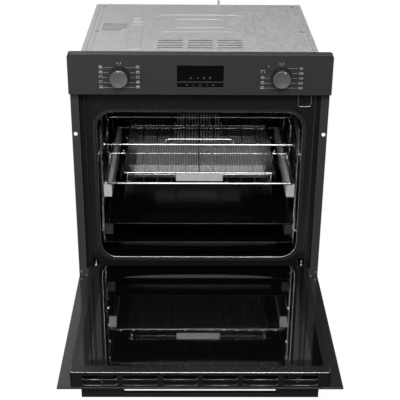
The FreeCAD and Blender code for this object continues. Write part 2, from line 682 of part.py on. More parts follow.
def baking_tray(name, front, rim_low, depth, lip):
    """Enamelled tray: sloping walls, a flat rim that rides on the rungs or rails, and a grip lip."""
    rear = f"({front} + tray_length)"
    rim = (f"{rim_low}", f"{rim_low} + tray_sheet")
    wall_x = across("shelf_width - 2 * tray_rim")
    wall_y = (f"{front} + tray_end", f"{rear} - tray_end")
    base_x = across("shelf_width - 2 * tray_rim - 2 * tray_taper")
    base_y = (f"{wall_y[0]} + tray_taper", f"{wall_y[1]} - tray_taper")
    z = (f"{rim_low} - {depth}", f"{rim_low} + tray_sheet")
    plate = rounded(block(across("shelf_width"), (front, rear), rim), "Z", "tray_corner")
    outer = frustum((base_x, base_y), (wall_x, wall_y), z)
    thin = "tray_sheet"
    inner = frustum((across(f"shelf_width - 2 * tray_rim - 2 * tray_taper - 2 * {thin}"),
                     (f"{base_y[0]} + {thin}", f"{base_y[1]} - {thin}")),
                    (across(f"shelf_width - 2 * tray_rim - 2 * {thin}"),
                     (f"{wall_y[0]} + {thin}", f"{wall_y[1]} - {thin}")),
                    (f"{z[0]} + {thin}", f"{z[1]} + 0.01"))
    parts = [plate, outer]
    if lip:
        turned = block(across("lip_width"), (front, f"{front} + tray_sheet"),
                       (f"{rim_low} - lip_drop", rim_low))
        parts.append(rounded(turned, "Y", "lip_corner", lambda middle: middle.z < size(rim_low) - 5))
    node(name, cut(join(*parts), inner))


def shelves():
    wire_rack("upper_rack", "upper_rack_front", "upper_rack_z", lip=True)
    wire_rack("lower_rack", "lower_rack_front", "lower_rack_z", lip=False)
    basket()
    baking_tray("shallow_tray", "shallow_front", "shallow_rim", "shallow_depth", lip=False)
    baking_tray("deep_tray", "deep_front", "deep_rim", "deep_depth", lip=True)


# ---------------------------------------------------------------- door

HANDLE_MIDDLE = "(handle_front + handle_rear) / 2"


def door_glass():
    """Three panes: the wide outer one, a middle one, and the inner one that faces the cavity."""
    face = ("door_face", "door_face + pane")
    outer = block(across("front_width"), ("door_front", "door_back"), face)
    holes = [rod("Z", "handle_screw", ("0", "30"), (f"{side} * handle_screw_x", HANDLE_MIDDLE))
             for side in (-1, 1)]
    node("door_outer_glass", cut(rounded(outer, "Z", "moulding_corner"), *holes))
    middle_z = ("middle_pane_bottom", "middle_pane_bottom + pane")
    middle = block(across("middle_pane_width"), ("cap_rear + 3", "door_box_back - 18"), middle_z)
    node("door_middle_glass", middle)
    inner_z = ("door_box_top - pane", "door_box_top")
    inner = block(across("inner_pane_width"), ("cap_rear + 0.4", "door_box_back - 2.4"), inner_z)
    node("door_inner_glass", inner)


def door_frame():
    """Side profiles and the rail at the hinge end, which carry the panes, and the spacers between them."""
    floor = "(door_face + pane)"
    shelf = "(door_box_top - pane)"
    y = ("cap_rear + 0.4", "door_box_back")
    web = block(("door_box_width / 2 - profile_sheet", "door_box_width / 2"), y, (floor, shelf))
    flanges = [block(("door_box_width / 2 - profile_width", "door_box_width / 2"), y, z)
               for z in ((floor, f"{floor} + profile_sheet"), (f"{shelf} - profile_sheet", shelf))]
    side = join(web, *flanges)
    end = block(across("middle_pane_width - 2"),
                ("door_box_back - 15", "door_box_back - 15 + profile_sheet"), (floor, shelf))
    top = block(across("door_box_width - 2 * profile_width"), ("door_box_back - 15", "door_box_back"),
                (f"{shelf} - profile_sheet", shelf))
    node("door_frame", join(side, mirrored(side), end, top))
    spacers = []
    for start in ("cap_rear + 6", "door_box_back - 40"):
        for z in ((floor, "middle_pane_bottom"), ("middle_pane_bottom + pane", shelf)):
            spacers.append(block(around("spacer_x", "spacer_width"), (start, f"{start} + spacer_length"), z))
    node("glass_spacers", group(*[pair(item) for item in spacers]))


def door_cap():
    """Vented cover across the door's free end."""
    z = ("door_face + pane", "cap_top")
    y = ("cap_front", "cap_rear")
    case = rounded(block(across("door_box_width"), y, z), "Z", "panel_corner",
                   lambda middle: middle.y < size("cap_rear") - 10)
    wall = "profile_sheet"
    hollow = block(across("door_box_width - 2 * profile_sheet"), (f"cap_front + {wall}", "cap_rear + 1"),
                   ("door_face + pane - 1", f"cap_top - {wall}"))
    vents = []
    for column in range(6):
        middle = f"({column} - 2.5) * vent_pitch"
        for row in (0, 1):
            low = f"door_face + pane + vent_margin + {row} * vent_row"
            vents.append(block(around(middle, "vent_length"), ("cap_front - 1", "cap_front + 3"),
                               (low, f"{low} + vent_height")))
    node("door_top_cap", cut(case, hollow, *vents))


def door_handle():
    """Flat bar with solid ends, held by two screws through the outer glass."""
    body = new_body()
    base = sketch_on(body, "XZ_Plane", "-handle_rear")
    x = across("handle_width")
    gap = across("handle_gap")
    bar_top = "handle_bottom + handle_bar"
    outline(base, [(x[0], "handle_bottom"), (x[1], "handle_bottom"), (x[1], "door_face"),
                   (gap[1], "door_face"), (gap[1], bar_top), (gap[0], bar_top), (gap[0], "door_face"),
                   (x[0], "door_face")])
    bar = pad(body, base, "handle_rear - handle_front")
    document.recompute()
    soft = body.newObject("PartDesign::Fillet", "Soft")
    edges = [f"Edge{number}" for number, edge in enumerate(bar.Shape.Edges, 1)
             if edge.Length > 400 and edge.CenterOfMass.z < size("handle_bottom") + 1]
    soft.Base = (bar, edges)
    bind(soft, Radius="moulding_corner")
    for side in (-1, 1):
        hole = circle(sketch_on(body, "XY_Plane", "door_face"), "handle_screw",
                      f"{side} * handle_screw_x", HANDLE_MIDDLE)
        pocket(body, hole, "16")
    node("door_handle", body)
    screws = []
    for side in (-1, 1):
        centre = (f"{side} * handle_screw_x", HANDLE_MIDDLE)
        head = rod("Z", "screw_head + 0.5", ("door_face + pane", "door_face + pane + 3"), centre)
        screws.append(join(head, rod("Z", "handle_screw", ("door_face - 15", "door_face + pane"), centre)))
    node("handle_screws", group(*screws))


def hinges():
    """Arm and spring in the chassis; pivot pin and channel in the door."""
    x = ("hinge_x - arm_thick / 2", "hinge_x + arm_thick / 2")
    centre = ("pivot_y", "pivot_z")
    nose = rod("X", "arm_nose", x, centre)
    bar = block(x, ("pivot_y", "arm_tail"), ("pivot_z - arm_nose", "pivot_z + arm_nose"))
    hook = block(x, ("recess_depth - 5", "recess_depth + 8"), ("pivot_z", "pivot_z + 16"))
    eye = rod("X", "pin_radius + 0.06", ("hinge_x - 9", "hinge_x + 9"), centre)
    node("hinge_arms", pair(cut(join(nose, bar, hook), eye)))
    case = block(around("hinge_x", "hinge_box_width"), ("recess_depth", "hinge_box_rear"),
                 ("hinge_box_bottom", "hinge_box_top"))
    room = block(around("hinge_x", "hinge_box_width - 2 * profile_sheet"),
                 ("recess_depth - 1", "hinge_box_rear - profile_sheet"),
                 ("hinge_box_bottom + profile_sheet", "hinge_box_top - profile_sheet"))
    node("hinge_boxes", pair(cut(case, room)))
    coils = []
    turns = 12
    first = "(arm_tail + 5)"
    for turn in range(turns):
        coil_y = f"{first} + {turn} * coil_pitch"
        coils.append(ring("Y", "coil_radius", "coil_wire", ("hinge_x", coil_y, "pivot_z")))
    ends = (("arm_tail", first), (f"{first} + {turns - 1} * coil_pitch", "hinge_box_rear - profile_sheet"))
    hooks = [block(around("hinge_x", "2"), y, around("pivot_z", "13")) for y in ends]
    node("hinge_springs", pair(join(*coils, *hooks)))
    plates = []
    edge = ("pivot_z - arm_nose - channel_gap", "pivot_z + arm_nose + channel_gap")
    for offset in (-1, 1):
        span = around(f"hinge_x + {offset} * 3.6", "2.4")
        plates.append(rod("X", "arm_nose + channel_gap", span, centre))
        plates.append(block(span, ("pivot_y - channel_length", "pivot_y"), edge))
    web = block(around("hinge_x", "9.6"), ("pivot_y - channel_length", "door_box_back - 6"),
                (f"{edge[0]} - 2", edge[0]))
    pin = rod("X", "pin_radius", around("hinge_x", "9.6"), centre)
    node("hinge_channels", pair(join(*plates, web, pin)))


# ---------------------------------------------------------------- case

TOP_SCREWS = [(x, y) for x in (-255, 255) for y in (30, 260, 505)]
REAR_SCREWS = [(x, z) for x in (-262, 262) for z in (60, 300, 540)]


def case_panels():
    """Galvanised sides, roof, floor and back, with their vents and screw holes."""
    half = "case_width / 2"
    web = block((f"{half} - case_sheet", half), ("sheet", "case_rear"), ("case_floor", "case_top"))
    sheet_z = ("case_top - case_sheet", "case_top")
    roof_lip = block(("top_cover_width / 2 + 0.6", half), ("sheet", "case_rear"), sheet_z)
    louvres = []
    for row in range(6):
        for column in range(2):
            louvres.append(block((f"{half} - 3", f"{half} + 1"), around(f"400 + {column} * 62", "48"),
                                 around(f"478 + {row} * 12", "4")))
    recess_room = block(across("recess_width + 2"), ("0", "recess_depth + 0.2"),
                        ("recess_bottom - 0.2", "recess_top + 0.2"))
    side = cut(join(web, roof_lip), recess_room, *louvres)
    node("right_side_panel", side)
    node("left_side_panel", mirrored(side))
    roof = block(across("top_cover_width"), ("sheet + 0.2", "case_rear - case_sheet - 0.2"), sheet_z)
    slots = []
    through = ("case_top - 3", "case_top + 1")
    for row in range(4):
        slots.append(block(("-245", "-183"), around(f"278 + {row} * 18", "6"), through))
        for column in range(3):
            slots.append(block(around(f"{column} * 72 - 71", "60"),
                               around(f"128 + {row} * 20", "6"), through))
    holes = [rod("Z", "screw_radius", through, centre) for centre in TOP_SCREWS]
    pad_plate = rounded(block(across("roof_pad_width"), ("roof_pad_front", "roof_pad_rear"),
                              ("case_top", "case_top + roof_pad_height")), "Z", "roof_pad_corner")
    node("top_cover", cut(join(roof, pad_plate), *slots, *holes))
    inner = across("case_width - 2 * case_sheet - 0.4")
    floor = block(inner, ("sheet + 0.2", "case_rear - case_sheet - 0.2"),
                  ("case_floor", "case_floor + case_sheet"))
    rails = []
    for y in ("0", "case_rear - 60"):
        span = (f"({y})", f"({y}) + rail_depth")
        bar = block(across("rail_span"), span, ("0", "case_floor"))
        tunnel = block(across("rail_span + 2"), (f"{span[0]} + profile_sheet", f"{span[1]} - profile_sheet"),
                       ("profile_sheet", "case_floor - profile_sheet"))
        rails.append(cut(bar, tunnel))
    node("base_pan", join(floor, *rails))
    back = block(inner, ("case_rear - case_sheet", "case_rear"),
                 ("case_floor + case_sheet + 0.2", "case_top - case_sheet - 0.2"))
    y = ("case_rear - 3", "case_rear + 1")
    vents = [block(around(f"{column} * 34", "22"), y, around(f"470 + {row} * 12", "4.5"))
             for column in range(-6, 7) for row in range(5)]
    vents += [block(around(f"{column} * 15", "5"), y, around("fan_z", "70")) for column in range(-3, 4)]
    holes = [rod("Y", "screw_radius", y, centre) for centre in REAR_SCREWS]
    gland_hole = rod("Y", "cable_radius + 4", y, ("terminal_x", "terminal_z"))
    tip = block(around("tip_x", "tip_width"), ("case_rear - case_sheet", "case_rear"),
                ("case_top - 3", "case_top + tip_height"))
    tip = rounded(tip, "Y", "latch_corner", lambda middle: middle.z > size("case_top"))
    node("rear_panel", cut(join(back, tip), *vents, *holes, gland_hole))


def case_screws():
    """Self-tapping screws: roof and back of the case, and the corner brackets."""
    screws = []
    for centre in TOP_SCREWS:
        screws.append(join(rod("Z", "screw_head", ("case_top", "case_top + 2"), centre),
                           rod("Z", "screw_radius", ("case_top - 8", "case_top"), centre)))
    for centre in REAR_SCREWS:
        screws.append(join(rod("Y", "screw_head", ("case_rear", "case_rear + 2"), centre),
                           rod("Y", "screw_radius", ("case_rear - 8", "case_rear"), centre)))
    for side in (-1, 1):
        for x, z in BRACKET_SCREWS:
            centre = (f"{side} * {x}", z)
            screws.append(join(rod("Y", "2.8", ("-1.3", "-1"), centre),
                               rod("Y", "bracket_screw", ("-1", "sheet"), centre)))
    node("case_screws", group(*screws))


def cooling_blower():
    """Cross-flow rotor above the cavity that cools the controls; its case is open below and in front."""
    body = new_body("-blower_length / 2", "blower_y", "blower_z")
    disc = sketch_on(body, "YZ_Plane")
    pad(body, circle(disc, "blower_radius"), "1.5")
    far = sketch_on(body, "YZ_Plane", "blower_length - 1.5")
    pad(body, circle(sketch_on(body, "YZ_Plane"), "shaft_radius"), "blower_length + 30")
    pad(body, circle(far, "blower_radius"), "1.5")
    vane_pad = pad(body, blade(body, "YZ_Plane", "vane_root", "blower_radius - 0.6"), "blower_length")
    spread(body, vane_pad, "X_Axis", 16)
    node("blower_rotor", body)
    x = across("blower_length + 2 * blower_wall_gap")
    y = around("blower_y", "2 * blower_case")
    z = around("blower_z", "2 * blower_case")
    case = block(x, y, z)
    room = block(across("blower_length + 2 * (blower_wall_gap - sheet)"),
                 (f"{y[0]} + sheet", f"{y[1]} - sheet"), (f"{z[0]} + sheet", f"{z[1]} - sheet"))
    outlet = block(across("blower_length"), (f"{y[0]} - 1", f"{y[0]} + 3"), (f"{z[0]} + 6", "blower_z"))
    inlet = block(across("blower_length"), around("blower_y", "40"), (f"{z[1]} - 3", f"{z[1]} + 1"))
    hole = rod("X", "shaft_radius + 1.5", ("0", "blower_length / 2 + 12"), ("blower_y", "blower_z"))
    feet = block(across("blower_length"), around("blower_y", "30"), ("insulation_top", z[0]))
    node("blower_housing", cut(join(case, feet), room, outlet, inlet, hole))
    start = "(blower_length / 2 + blower_wall_gap)"
    motor = rod("X", "24", (start, f"{start} + blower_motor_length"), ("blower_y", "blower_z"))
    bore = rod("X", "shaft_radius + shaft_clearance", (f"{start} - 1", f"{start} + 26"),
               ("blower_y", "blower_z"))
    node("blower_motor", cut(motor, bore))


def mains_inlet():
    """Terminal box inside the back, and the gland that the mains lead passes through."""
    centre = ("terminal_x", "terminal_z")
    y = ("case_rear - case_sheet - terminal_depth", "case_rear - case_sheet")
    case = block(around(centre[0], "terminal_width"), y, around(centre[1], "terminal_height"))
    room = block(around(centre[0], "terminal_width - 2 * terminal_wall"),
                 (f"{y[0]} + terminal_wall", f"{y[1]} - terminal_wall"),
                 around(centre[1], "terminal_height - 2 * terminal_wall"))
    hole = rod("Y", "cable_radius + 4", (f"{y[1]} - 3", f"{y[1]} + 1"), centre)
    node("terminal_box", cut(case, room, hole))
    sleeve = rod("Y", "cable_radius + 4", ("case_rear - 9", "case_rear"), centre)
    nut = rod("Y", "cable_radius + 6.5", ("case_rear", "gland_rear"), centre)
    bore = rod("Y", "cable_radius", ("case_rear - 10", "gland_rear + 1"), centre)
    node("cable_gland", cut(join(sleeve, nut), bore))


# ---------------------------------------------------------------- build and write

for build in (front_frame, control_panel, display, controls, trim, cavity, fan_cover, convection_fan,
              heating_elements, lamp, ladders, runners, shelves, door_glass, door_frame, door_cap,
              door_handle, hinges, case_panels, case_screws, cooling_blower, mains_inlet):
    build()
document.recompute()

faults = [f"{item.Name} {item.Label}: {item.State}" for item in document.Objects
          if "Invalid" in item.State or "Error" in item.State]
for name, item in nodes.items():
    if item.Shape.isNull() or not item.Shape.isValid() or not item.Shape.Solids:
        faults.append(f"{name}: no valid solid")
if faults:
    raise SystemExit("\n".join(faults))

os.makedirs("parts", exist_ok=True)
for name, item in nodes.items():
    item.Shape.exportStep(os.path.join("parts", name + ".step"))
print(len(nodes), "sub-parts written")
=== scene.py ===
"""The looks of a built-in oven with its drop-down door open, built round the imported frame.

Metres, in the frame's own axes: X to the right, Y back into the niche, Z up. Lengths in the
tables and calls below are in millimetres, and MM turns them to metres.
"""
import json
import math

import bpy
from mathutils import Matrix, Vector


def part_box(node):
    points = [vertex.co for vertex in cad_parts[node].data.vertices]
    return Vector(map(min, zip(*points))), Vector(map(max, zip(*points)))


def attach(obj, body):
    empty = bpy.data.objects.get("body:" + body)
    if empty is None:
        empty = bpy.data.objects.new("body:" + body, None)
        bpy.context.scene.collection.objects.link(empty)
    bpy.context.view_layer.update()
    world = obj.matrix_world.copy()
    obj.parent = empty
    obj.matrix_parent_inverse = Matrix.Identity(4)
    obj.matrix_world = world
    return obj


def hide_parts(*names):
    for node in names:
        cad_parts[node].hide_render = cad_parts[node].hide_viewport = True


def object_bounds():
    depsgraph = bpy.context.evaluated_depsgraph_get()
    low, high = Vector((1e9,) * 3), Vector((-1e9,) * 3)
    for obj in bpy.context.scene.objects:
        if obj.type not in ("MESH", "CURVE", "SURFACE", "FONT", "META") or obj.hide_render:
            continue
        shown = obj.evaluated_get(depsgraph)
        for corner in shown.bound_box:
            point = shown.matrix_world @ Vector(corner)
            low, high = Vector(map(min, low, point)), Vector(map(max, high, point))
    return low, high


MM = 0.001
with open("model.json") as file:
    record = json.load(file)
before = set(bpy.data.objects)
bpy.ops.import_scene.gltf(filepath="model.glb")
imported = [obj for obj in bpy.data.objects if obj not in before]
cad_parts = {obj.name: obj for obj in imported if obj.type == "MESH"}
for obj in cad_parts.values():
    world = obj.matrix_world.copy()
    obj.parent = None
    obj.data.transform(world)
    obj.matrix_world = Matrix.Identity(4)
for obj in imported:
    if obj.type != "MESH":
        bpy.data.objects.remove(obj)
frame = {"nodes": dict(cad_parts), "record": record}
cad_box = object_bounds()
record = frame["record"]
BODY_OF = {node: body for body, nodes in record["behaviour"]["bodies"].items() for node in nodes}
SLOT_OF = {entry["node"]: entry["material_slot"] for entry in record["subparts"]}


# ---------------------------------------------------------------- materials

def linear(code):
    """Linear colour of an sRGB hex code."""
    parts = [int(code[n:n + 2], 16) / 255 for n in (0, 2, 4)]
    return [*(c / 12.92 if c <= 0.04045 else ((c + 0.055) / 1.055) ** 2.4 for c in parts), 1.0]


def add(tree, kind, settings=None, links=None):
    """A node with its settings, and its inputs linked to (node, output) pairs."""
    node = tree.nodes.new("ShaderNode" + kind)
    for key, value in (settings or {}).items():
        if isinstance(key, int) or key in node.inputs:
            node.inputs[key].default_value = value
        else:
            setattr(node, key, value)
    for key, (source, output) in (links or {}).items():
        tree.links.new(source.outputs[output], node.inputs[key])
    return node


def surface(name, **settings):
    """A material with one Principled shader, and the Object coordinates its patterns read."""
    made = bpy.data.materials.new(name)
    made.use_nodes = True
    tree = made.node_tree
    tree.nodes.clear()
    shader = add(tree, "BsdfPrincipled", {key.replace("_", " "): value for key, value in settings.items()})
    add(tree, "OutputMaterial", links={"Surface": (shader, "BSDF")})
    place = add(tree, "TexCoord")
    return made, tree, shader, place


def per_mm(length):
    """The scale that gives a pattern this period in millimetres."""
    return 1 / (length * MM)


def grain(tree, shader, place, period, depth, rough=None, base=None, stretch=(1, 1, 1)):
    """Fine relief of one period, which also varies the roughness and the colour between two values."""
    turned = add(tree, "Mapping", {"Scale": stretch}, {"Vector": (place, "Object")})
    noise = add(tree, "TexNoise", {"Scale": per_mm(period), "Detail": 3.0}, {"Vector": (turned, "Vector")})
    bump = add(tree, "Bump", {"Strength": 0.6, "Distance": depth * MM}, {"Height": (noise, "Fac")})
    tree.links.new(bump.outputs["Normal"], shader.inputs["Normal"])
    if rough:
        spread = add(tree, "MapRange",
                     {"From Min": 0.3, "From Max": 0.7, "To Min": rough[0], "To Max": rough[1]},
                     {"Value": (noise, "Fac")})
        tree.links.new(spread.outputs["Result"], shader.inputs["Roughness"])
    if base:
        tint(tree, shader, place, period * 9, base)


def tint(tree, shader, place, period, colours, stretch=(1, 1, 1)):
    """A slow drift between two colours over a larger period."""
    turned = add(tree, "Mapping", {"Scale": stretch}, {"Vector": (place, "Object")})
    cloud = add(tree, "TexNoise", {"Scale": per_mm(period), "Detail": 2.0}, {"Vector": (turned, "Vector")})
    mixed = add(tree, "Mix", {"data_type": "RGBA", 6: linear(colours[0]), 7: linear(colours[1])},
                {0: (cloud, "Fac")})
    tree.links.new(mixed.outputs[2], shader.inputs["Base Color"])


def vitreous_enamel():
    """Black vitreous enamel, fired on steel: a deep gloss with a faint orange peel and pale flecks."""
    made, tree, shader, place = surface("vitreous_enamel", Roughness=0.16, IOR=1.5)
    peel = add(tree, "TexNoise", {"Scale": per_mm(5), "Detail": 2.0}, {"Vector": (place, "Object")})
    bump = add(tree, "Bump", {"Strength": 0.35, "Distance": 0.05 * MM}, {"Height": (peel, "Fac")})
    tree.links.new(bump.outputs["Normal"], shader.inputs["Normal"])
    fleck = add(tree, "TexVoronoi", {"Scale": per_mm(4)}, {"Vector": (place, "Object")})
    dot = add(tree, "MapRange", {"From Min": 0.10, "From Max": 0.16, "To Min": 0.5, "To Max": 0.0},
              {"Value": (fleck, "Distance")})
    mixed = add(tree, "Mix", {"data_type": "RGBA", 6: linear("08080a"), 7: linear("46474a")},
                {0: (dot, "Result")})
    tree.links.new(mixed.outputs[2], shader.inputs["Base Color"])
    return made


def frame_enamel():
    """Black enamel on the pressed front: half gloss, fine pebbled skin, painted paler on the forward flange
    and darker back in the recess as painted light and shade.
    """
    made, tree, shader, place = surface("front_enamel_painted_light_and_shade", IOR=1.48)
    grain(tree, shader, place, 1.6, 0.02, rough=(0.26, 0.38))
    where = add(tree, "SeparateXYZ", links={"Vector": (place, "Object")})
    # painted light and shade: a paler grey on the flange, turning darker from 3 mm back, where the recess
    # lies in shade
    depth = add(tree, "MapRange", {"From Min": 1.5 * MM, "From Max": 3 * MM}, {"Value": (where, "Y")})
    mixed = add(tree, "Mix", {"data_type": "RGBA", 6: linear("38383a"), 7: linear("17171a")},
                {0: (depth, "Result")})
    tree.links.new(mixed.outputs[2], shader.inputs["Base Color"])
    return made


def powder_coat():
    """Anthracite powder coat, sprayed and baked: an even satin with a very fine texture."""
    made, tree, shader, place = surface("anthracite_powder_coat", IOR=1.4)
    grain(tree, shader, place, 1.2, 0.03, rough=(0.40, 0.52), base=("303032", "363638"))
    return made


def bead_highlight_finish():
    """Enamel on the crown of the pressed beads by the door's sides, paler and more metallic than the frame's:
    a painted highlight.
    """
    made, tree, shader, place = surface("bead_painted_highlight", Metallic=0.6)
    grain(tree, shader, place, 4, 0.01, rough=(0.18, 0.3), base=("4a4a4c", "3a3a3c"), stretch=(1, 1, 0.1))
    return made


def gloss_paint():
    """Black gloss paint on the door's metalwork: clean sharp highlights on a deep black."""
    made, tree, shader, place = surface("black_gloss_paint", IOR=1.46)
    grain(tree, shader, place, 2.4, 0.015, rough=(0.22, 0.34), base=("131314", "19191a"))
    return made


def galvanised_steel():
    """Hot-dip galvanised sheet: zinc crystals, each with its own shade and gloss, and a rolling grain."""
    made, tree, shader, place = surface("galvanised_sheet", Metallic=0.55)
    cells = add(tree, "TexVoronoi", {"Scale": per_mm(9)}, {"Vector": (place, "Object")})
    shade = add(tree, "SeparateColor", links={"Color": (cells, "Color")})
    mixed = add(tree, "Mix", {"data_type": "RGBA", 6: linear("aeb0b2"), 7: linear("b6b7b9")},
                {0: (shade, "Red")})
    tree.links.new(mixed.outputs[2], shader.inputs["Base Color"])
    gloss = add(tree, "MapRange", {"To Min": 0.44, "To Max": 0.56}, {"Value": (shade, "Green")})
    tree.links.new(gloss.outputs["Result"], shader.inputs["Roughness"])
    drawn = add(tree, "Mapping", {"Scale": (1, 12, 12)}, {"Vector": (place, "Object")})
    streak = add(tree, "TexNoise", {"Scale": per_mm(30)}, {"Vector": (drawn, "Vector")})
    bump = add(tree, "Bump", {"Strength": 0.4, "Distance": 0.04 * MM}, {"Height": (streak, "Fac")})
    tree.links.new(bump.outputs["Normal"], shader.inputs["Normal"])
    return made


def zinc_plate():
    """Bright zinc plating on stamped steel: bluish, with cloudy patches from the bath."""
    made, tree, shader, place = surface("bright_zinc_plate", Metallic=1.0)
    grain(tree, shader, place, 1.5, 0.02, rough=(0.22, 0.38), base=("b9bdc2", "a7abb2"))
    return made


def woven_wire():
    """Stainless wire cloth after use: mid grey, each wire with a soft line of light."""
    made, tree, shader, place = surface("woven_stainless_wire", Metallic=0.85)
    grain(tree, shader, place, 3, 0.01, rough=(0.35, 0.5), base=("8c8c8c", "7c7c7d"))
    return made


def chrome_wire():
    """Chromed wire: bright and hard, slightly dulled by use in places."""
    made, tree, shader, place = surface("chromed_wire", Metallic=1.0)
    grain(tree, shader, place, 3, 0.01, rough=(0.10, 0.24), base=("d6d7d8", "b4b5b7"))
    return made


def brushed_stainless():
    """Stainless steel sheet, brushed lengthwise: fine scratches that spread the highlight."""
    made, tree, shader, place = surface("brushed_stainless", Metallic=1.0)
    grain(tree, shader, place, 8, 0.02, rough=(0.22, 0.36), base=("c9c9c8", "d9d9d8"), stretch=(1, 14, 14))
    return made


def blasted_stainless():
    """Bead-blasted stainless steel: pale and even, with almost no mirror in it."""
    made, tree, shader, place = surface("bead_blasted_stainless", Metallic=0.35, IOR=1.5)
    grain(tree, shader, place, 0.8, 0.02, rough=(0.42, 0.55), base=("d6d6d6", "c6c6c7"))
    return made


def printed_glass():
    """Toughened glass with fired black print behind: a deep black under a clean polished face."""
    made, tree, shader, place = surface("black_printed_glass", Base_Color=linear("060607"), IOR=1.45)
    grain(tree, shader, place, 90, 0.002, rough=(0.04, 0.10))
    return made


def margin_glass():
    """The same glass on the door's own front, seen from behind, with a grey base that is a painted reflection
    over the margins.
    """
    made, tree, shader, place = surface("glass_with_painted_reflection", IOR=1.52)
    grain(tree, shader, place, 60, 0.002, rough=(0.10, 0.18), base=("232325", "2b2b2d"))
    return made


def coated_glass():
    """Heat-reflecting coated glass: a dark mirror with the softest film of haze."""
    made, tree, shader, place = surface("heat_reflecting_glass", Base_Color=linear("070708"), IOR=1.95)
    grain(tree, shader, place, 120, 0.001, rough=(0.02, 0.05))
    return made


def satin_abs():
    """Moulded ABS with a satin metallic lacquer: charcoal, with a soft wide highlight."""
    made, tree, shader, place = surface("satin_lacquered_abs", Metallic=0.5, IOR=1.5)
    grain(tree, shader, place, 0.9, 0.015, rough=(0.28, 0.38), base=("727274", "7c7c7e"))
    return made


def moulded_black():
    """Black glass-filled nylon, moulded with a fine spark-eroded texture."""
    made, tree, shader, place = surface("black_moulded_nylon", IOR=1.5)
    grain(tree, shader, place, 1.0, 0.04, rough=(0.45, 0.6), base=("121213", "19191a"))
    return made


def silicone():
    """Black silicone rubber, extruded: dull, with a dry powdery bloom."""
    made, tree, shader, place = surface("black_silicone_rubber", IOR=1.41)
    grain(tree, shader, place, 2.5, 0.05, rough=(0.6, 0.75), base=("151516", "1f1f20"))
    return made


def mineral_wool():
    """Yellow-grey mineral wool: matted fibres and shadows between the layers."""
    made, tree, shader, place = surface("mineral_wool", Sheen_Weight=0.3)
    grain(tree, shader, place, 3, 0.9, rough=(0.85, 0.98), base=("b8a981", "8f8467"), stretch=(1, 1, 4))
    return made


def incoloy():
    """Heater sheath of nickel alloy, annealed: dark oxide with a greenish-brown cast."""
    made, tree, shader, place = surface("annealed_nickel_alloy", Metallic=0.7)
    grain(tree, shader, place, 2, 0.03, rough=(0.45, 0.65), base=("3a3732", "4d4b47"))
    return made


def aluminised_steel():
    """Rotors and stampings of aluminised steel: pale, even and slightly soapy."""
    made, tree, shader, place = surface("aluminised_steel", Metallic=1.0)
    grain(tree, shader, place, 2.2, 0.03, rough=(0.35, 0.5), base=("bdbfc1", "cfd0d1"))
    return made


def steatite():
    """Glazed steatite lamp holder: warm white with a thin glassy skin."""
    made, tree, shader, place = surface("glazed_steatite", IOR=1.55, Coat_Weight=0.4)
    grain(tree, shader, place, 2, 0.02, rough=(0.25, 0.35), base=("dcd8cc", "e6e3d9"))
    return made


def laminate():
    """Green solder-masked laminate of the clock's circuit board."""
    made, tree, shader, place = surface("solder_masked_laminate", IOR=1.5)
    grain(tree, shader, place, 0.8, 0.02, rough=(0.3, 0.45), base=("12402a", "1a5236"))
    return made


def pressed_lens():
    """Pressed borosilicate lens: clear, slightly wavy, with a frosted back."""
    made, tree, shader, place = surface("pressed_borosilicate", Base_Color=linear("c9ccc9"), IOR=1.47,
                                        Transmission_Weight=0.55)
    grain(tree, shader, place, 5, 0.2, rough=(0.12, 0.3))
    return made


def screen_ink():
    """Light grey screen ink, baked on the panel: thin, flat and even."""
    made, tree, shader, place = surface("grey_screen_ink", IOR=1.45)
    grain(tree, shader, place, 0.6, 0.01, rough=(0.5, 0.6), base=("c4c4c4", "d2d2d2"))
    return made


def white_ink():
    """White tampo print, as on the pointer dots: opaque and slightly raised."""
    made, tree, shader, place = surface("white_tampo_ink", IOR=1.45)
    grain(tree, shader, place, 0.5, 0.01, rough=(0.4, 0.5), base=("f2f2f2", "ffffff"))
    return made


def unlit_segment():
    """Printed symbols behind the clock's glass while it is off: grey, barely showing."""
    made, tree, shader, place = surface("unlit_display_symbol", IOR=1.45)
    grain(tree, shader, place, 0.5, 0.01, rough=(0.4, 0.5), base=("6e6e72", "7c7c80"))
    return made


FINISH = {
    "black_enamel": vitreous_enamel(), "black_steel": powder_coat(), "frame_enamel": frame_enamel(),
    "galvanised": galvanised_steel(), "zinc": zinc_plate(), "chrome_wire": chrome_wire(),
    "stainless": brushed_stainless(), "black_glass": printed_glass(), "door_glass": coated_glass(),
    "lamp_glass": pressed_lens(), "knob_plastic": satin_abs(), "dark_plastic": moulded_black(),
    "board": laminate(), "seal_rubber": silicone(), "wool": mineral_wool(), "element_steel": incoloy(),
    "aluminium_part": aluminised_steel(), "white_ceramic": steatite(),
}
SCREEN_INK, WHITE_INK, UNLIT = screen_ink(), white_ink(), unlit_segment()
MARGIN_GLASS, GLOSS_PAINT = margin_glass(), gloss_paint()
WOVEN_WIRE, BEAD_HIGHLIGHT_FINISH, BLASTED = woven_wire(), bead_highlight_finish(), blasted_stainless()

for name, item in frame["nodes"].items():
    item.data.materials.clear()
    item.data.materials.append(FINISH[SLOT_OF[name]])


# ---------------------------------------------------------------- modelling helpers

def take(piece):
    """Make a piece the only selected one."""
    bpy.ops.object.select_all(action="DESELECT")
    piece.select_set(True)
    bpy.context.view_layer.objects.active = piece
    return piece


def settle(piece, name=None):
    """Put the piece's place into its mesh."""
    take(piece)
    bpy.ops.object.transform_apply(location=True, rotation=True, scale=True)
    if name:
        piece.name = name
        piece.data.name = name
    return piece


def cube(name, low, high):
    """A box between two corners in millimetres."""
    bpy.ops.object.select_all(action="DESELECT")
    low, high = Vector(low), Vector(high)
    bpy.ops.mesh.primitive_cube_add(size=1, location=(low + high) / 2 * MM)
    piece = bpy.context.object
    piece.scale = (high - low) * MM
    return settle(piece, name)


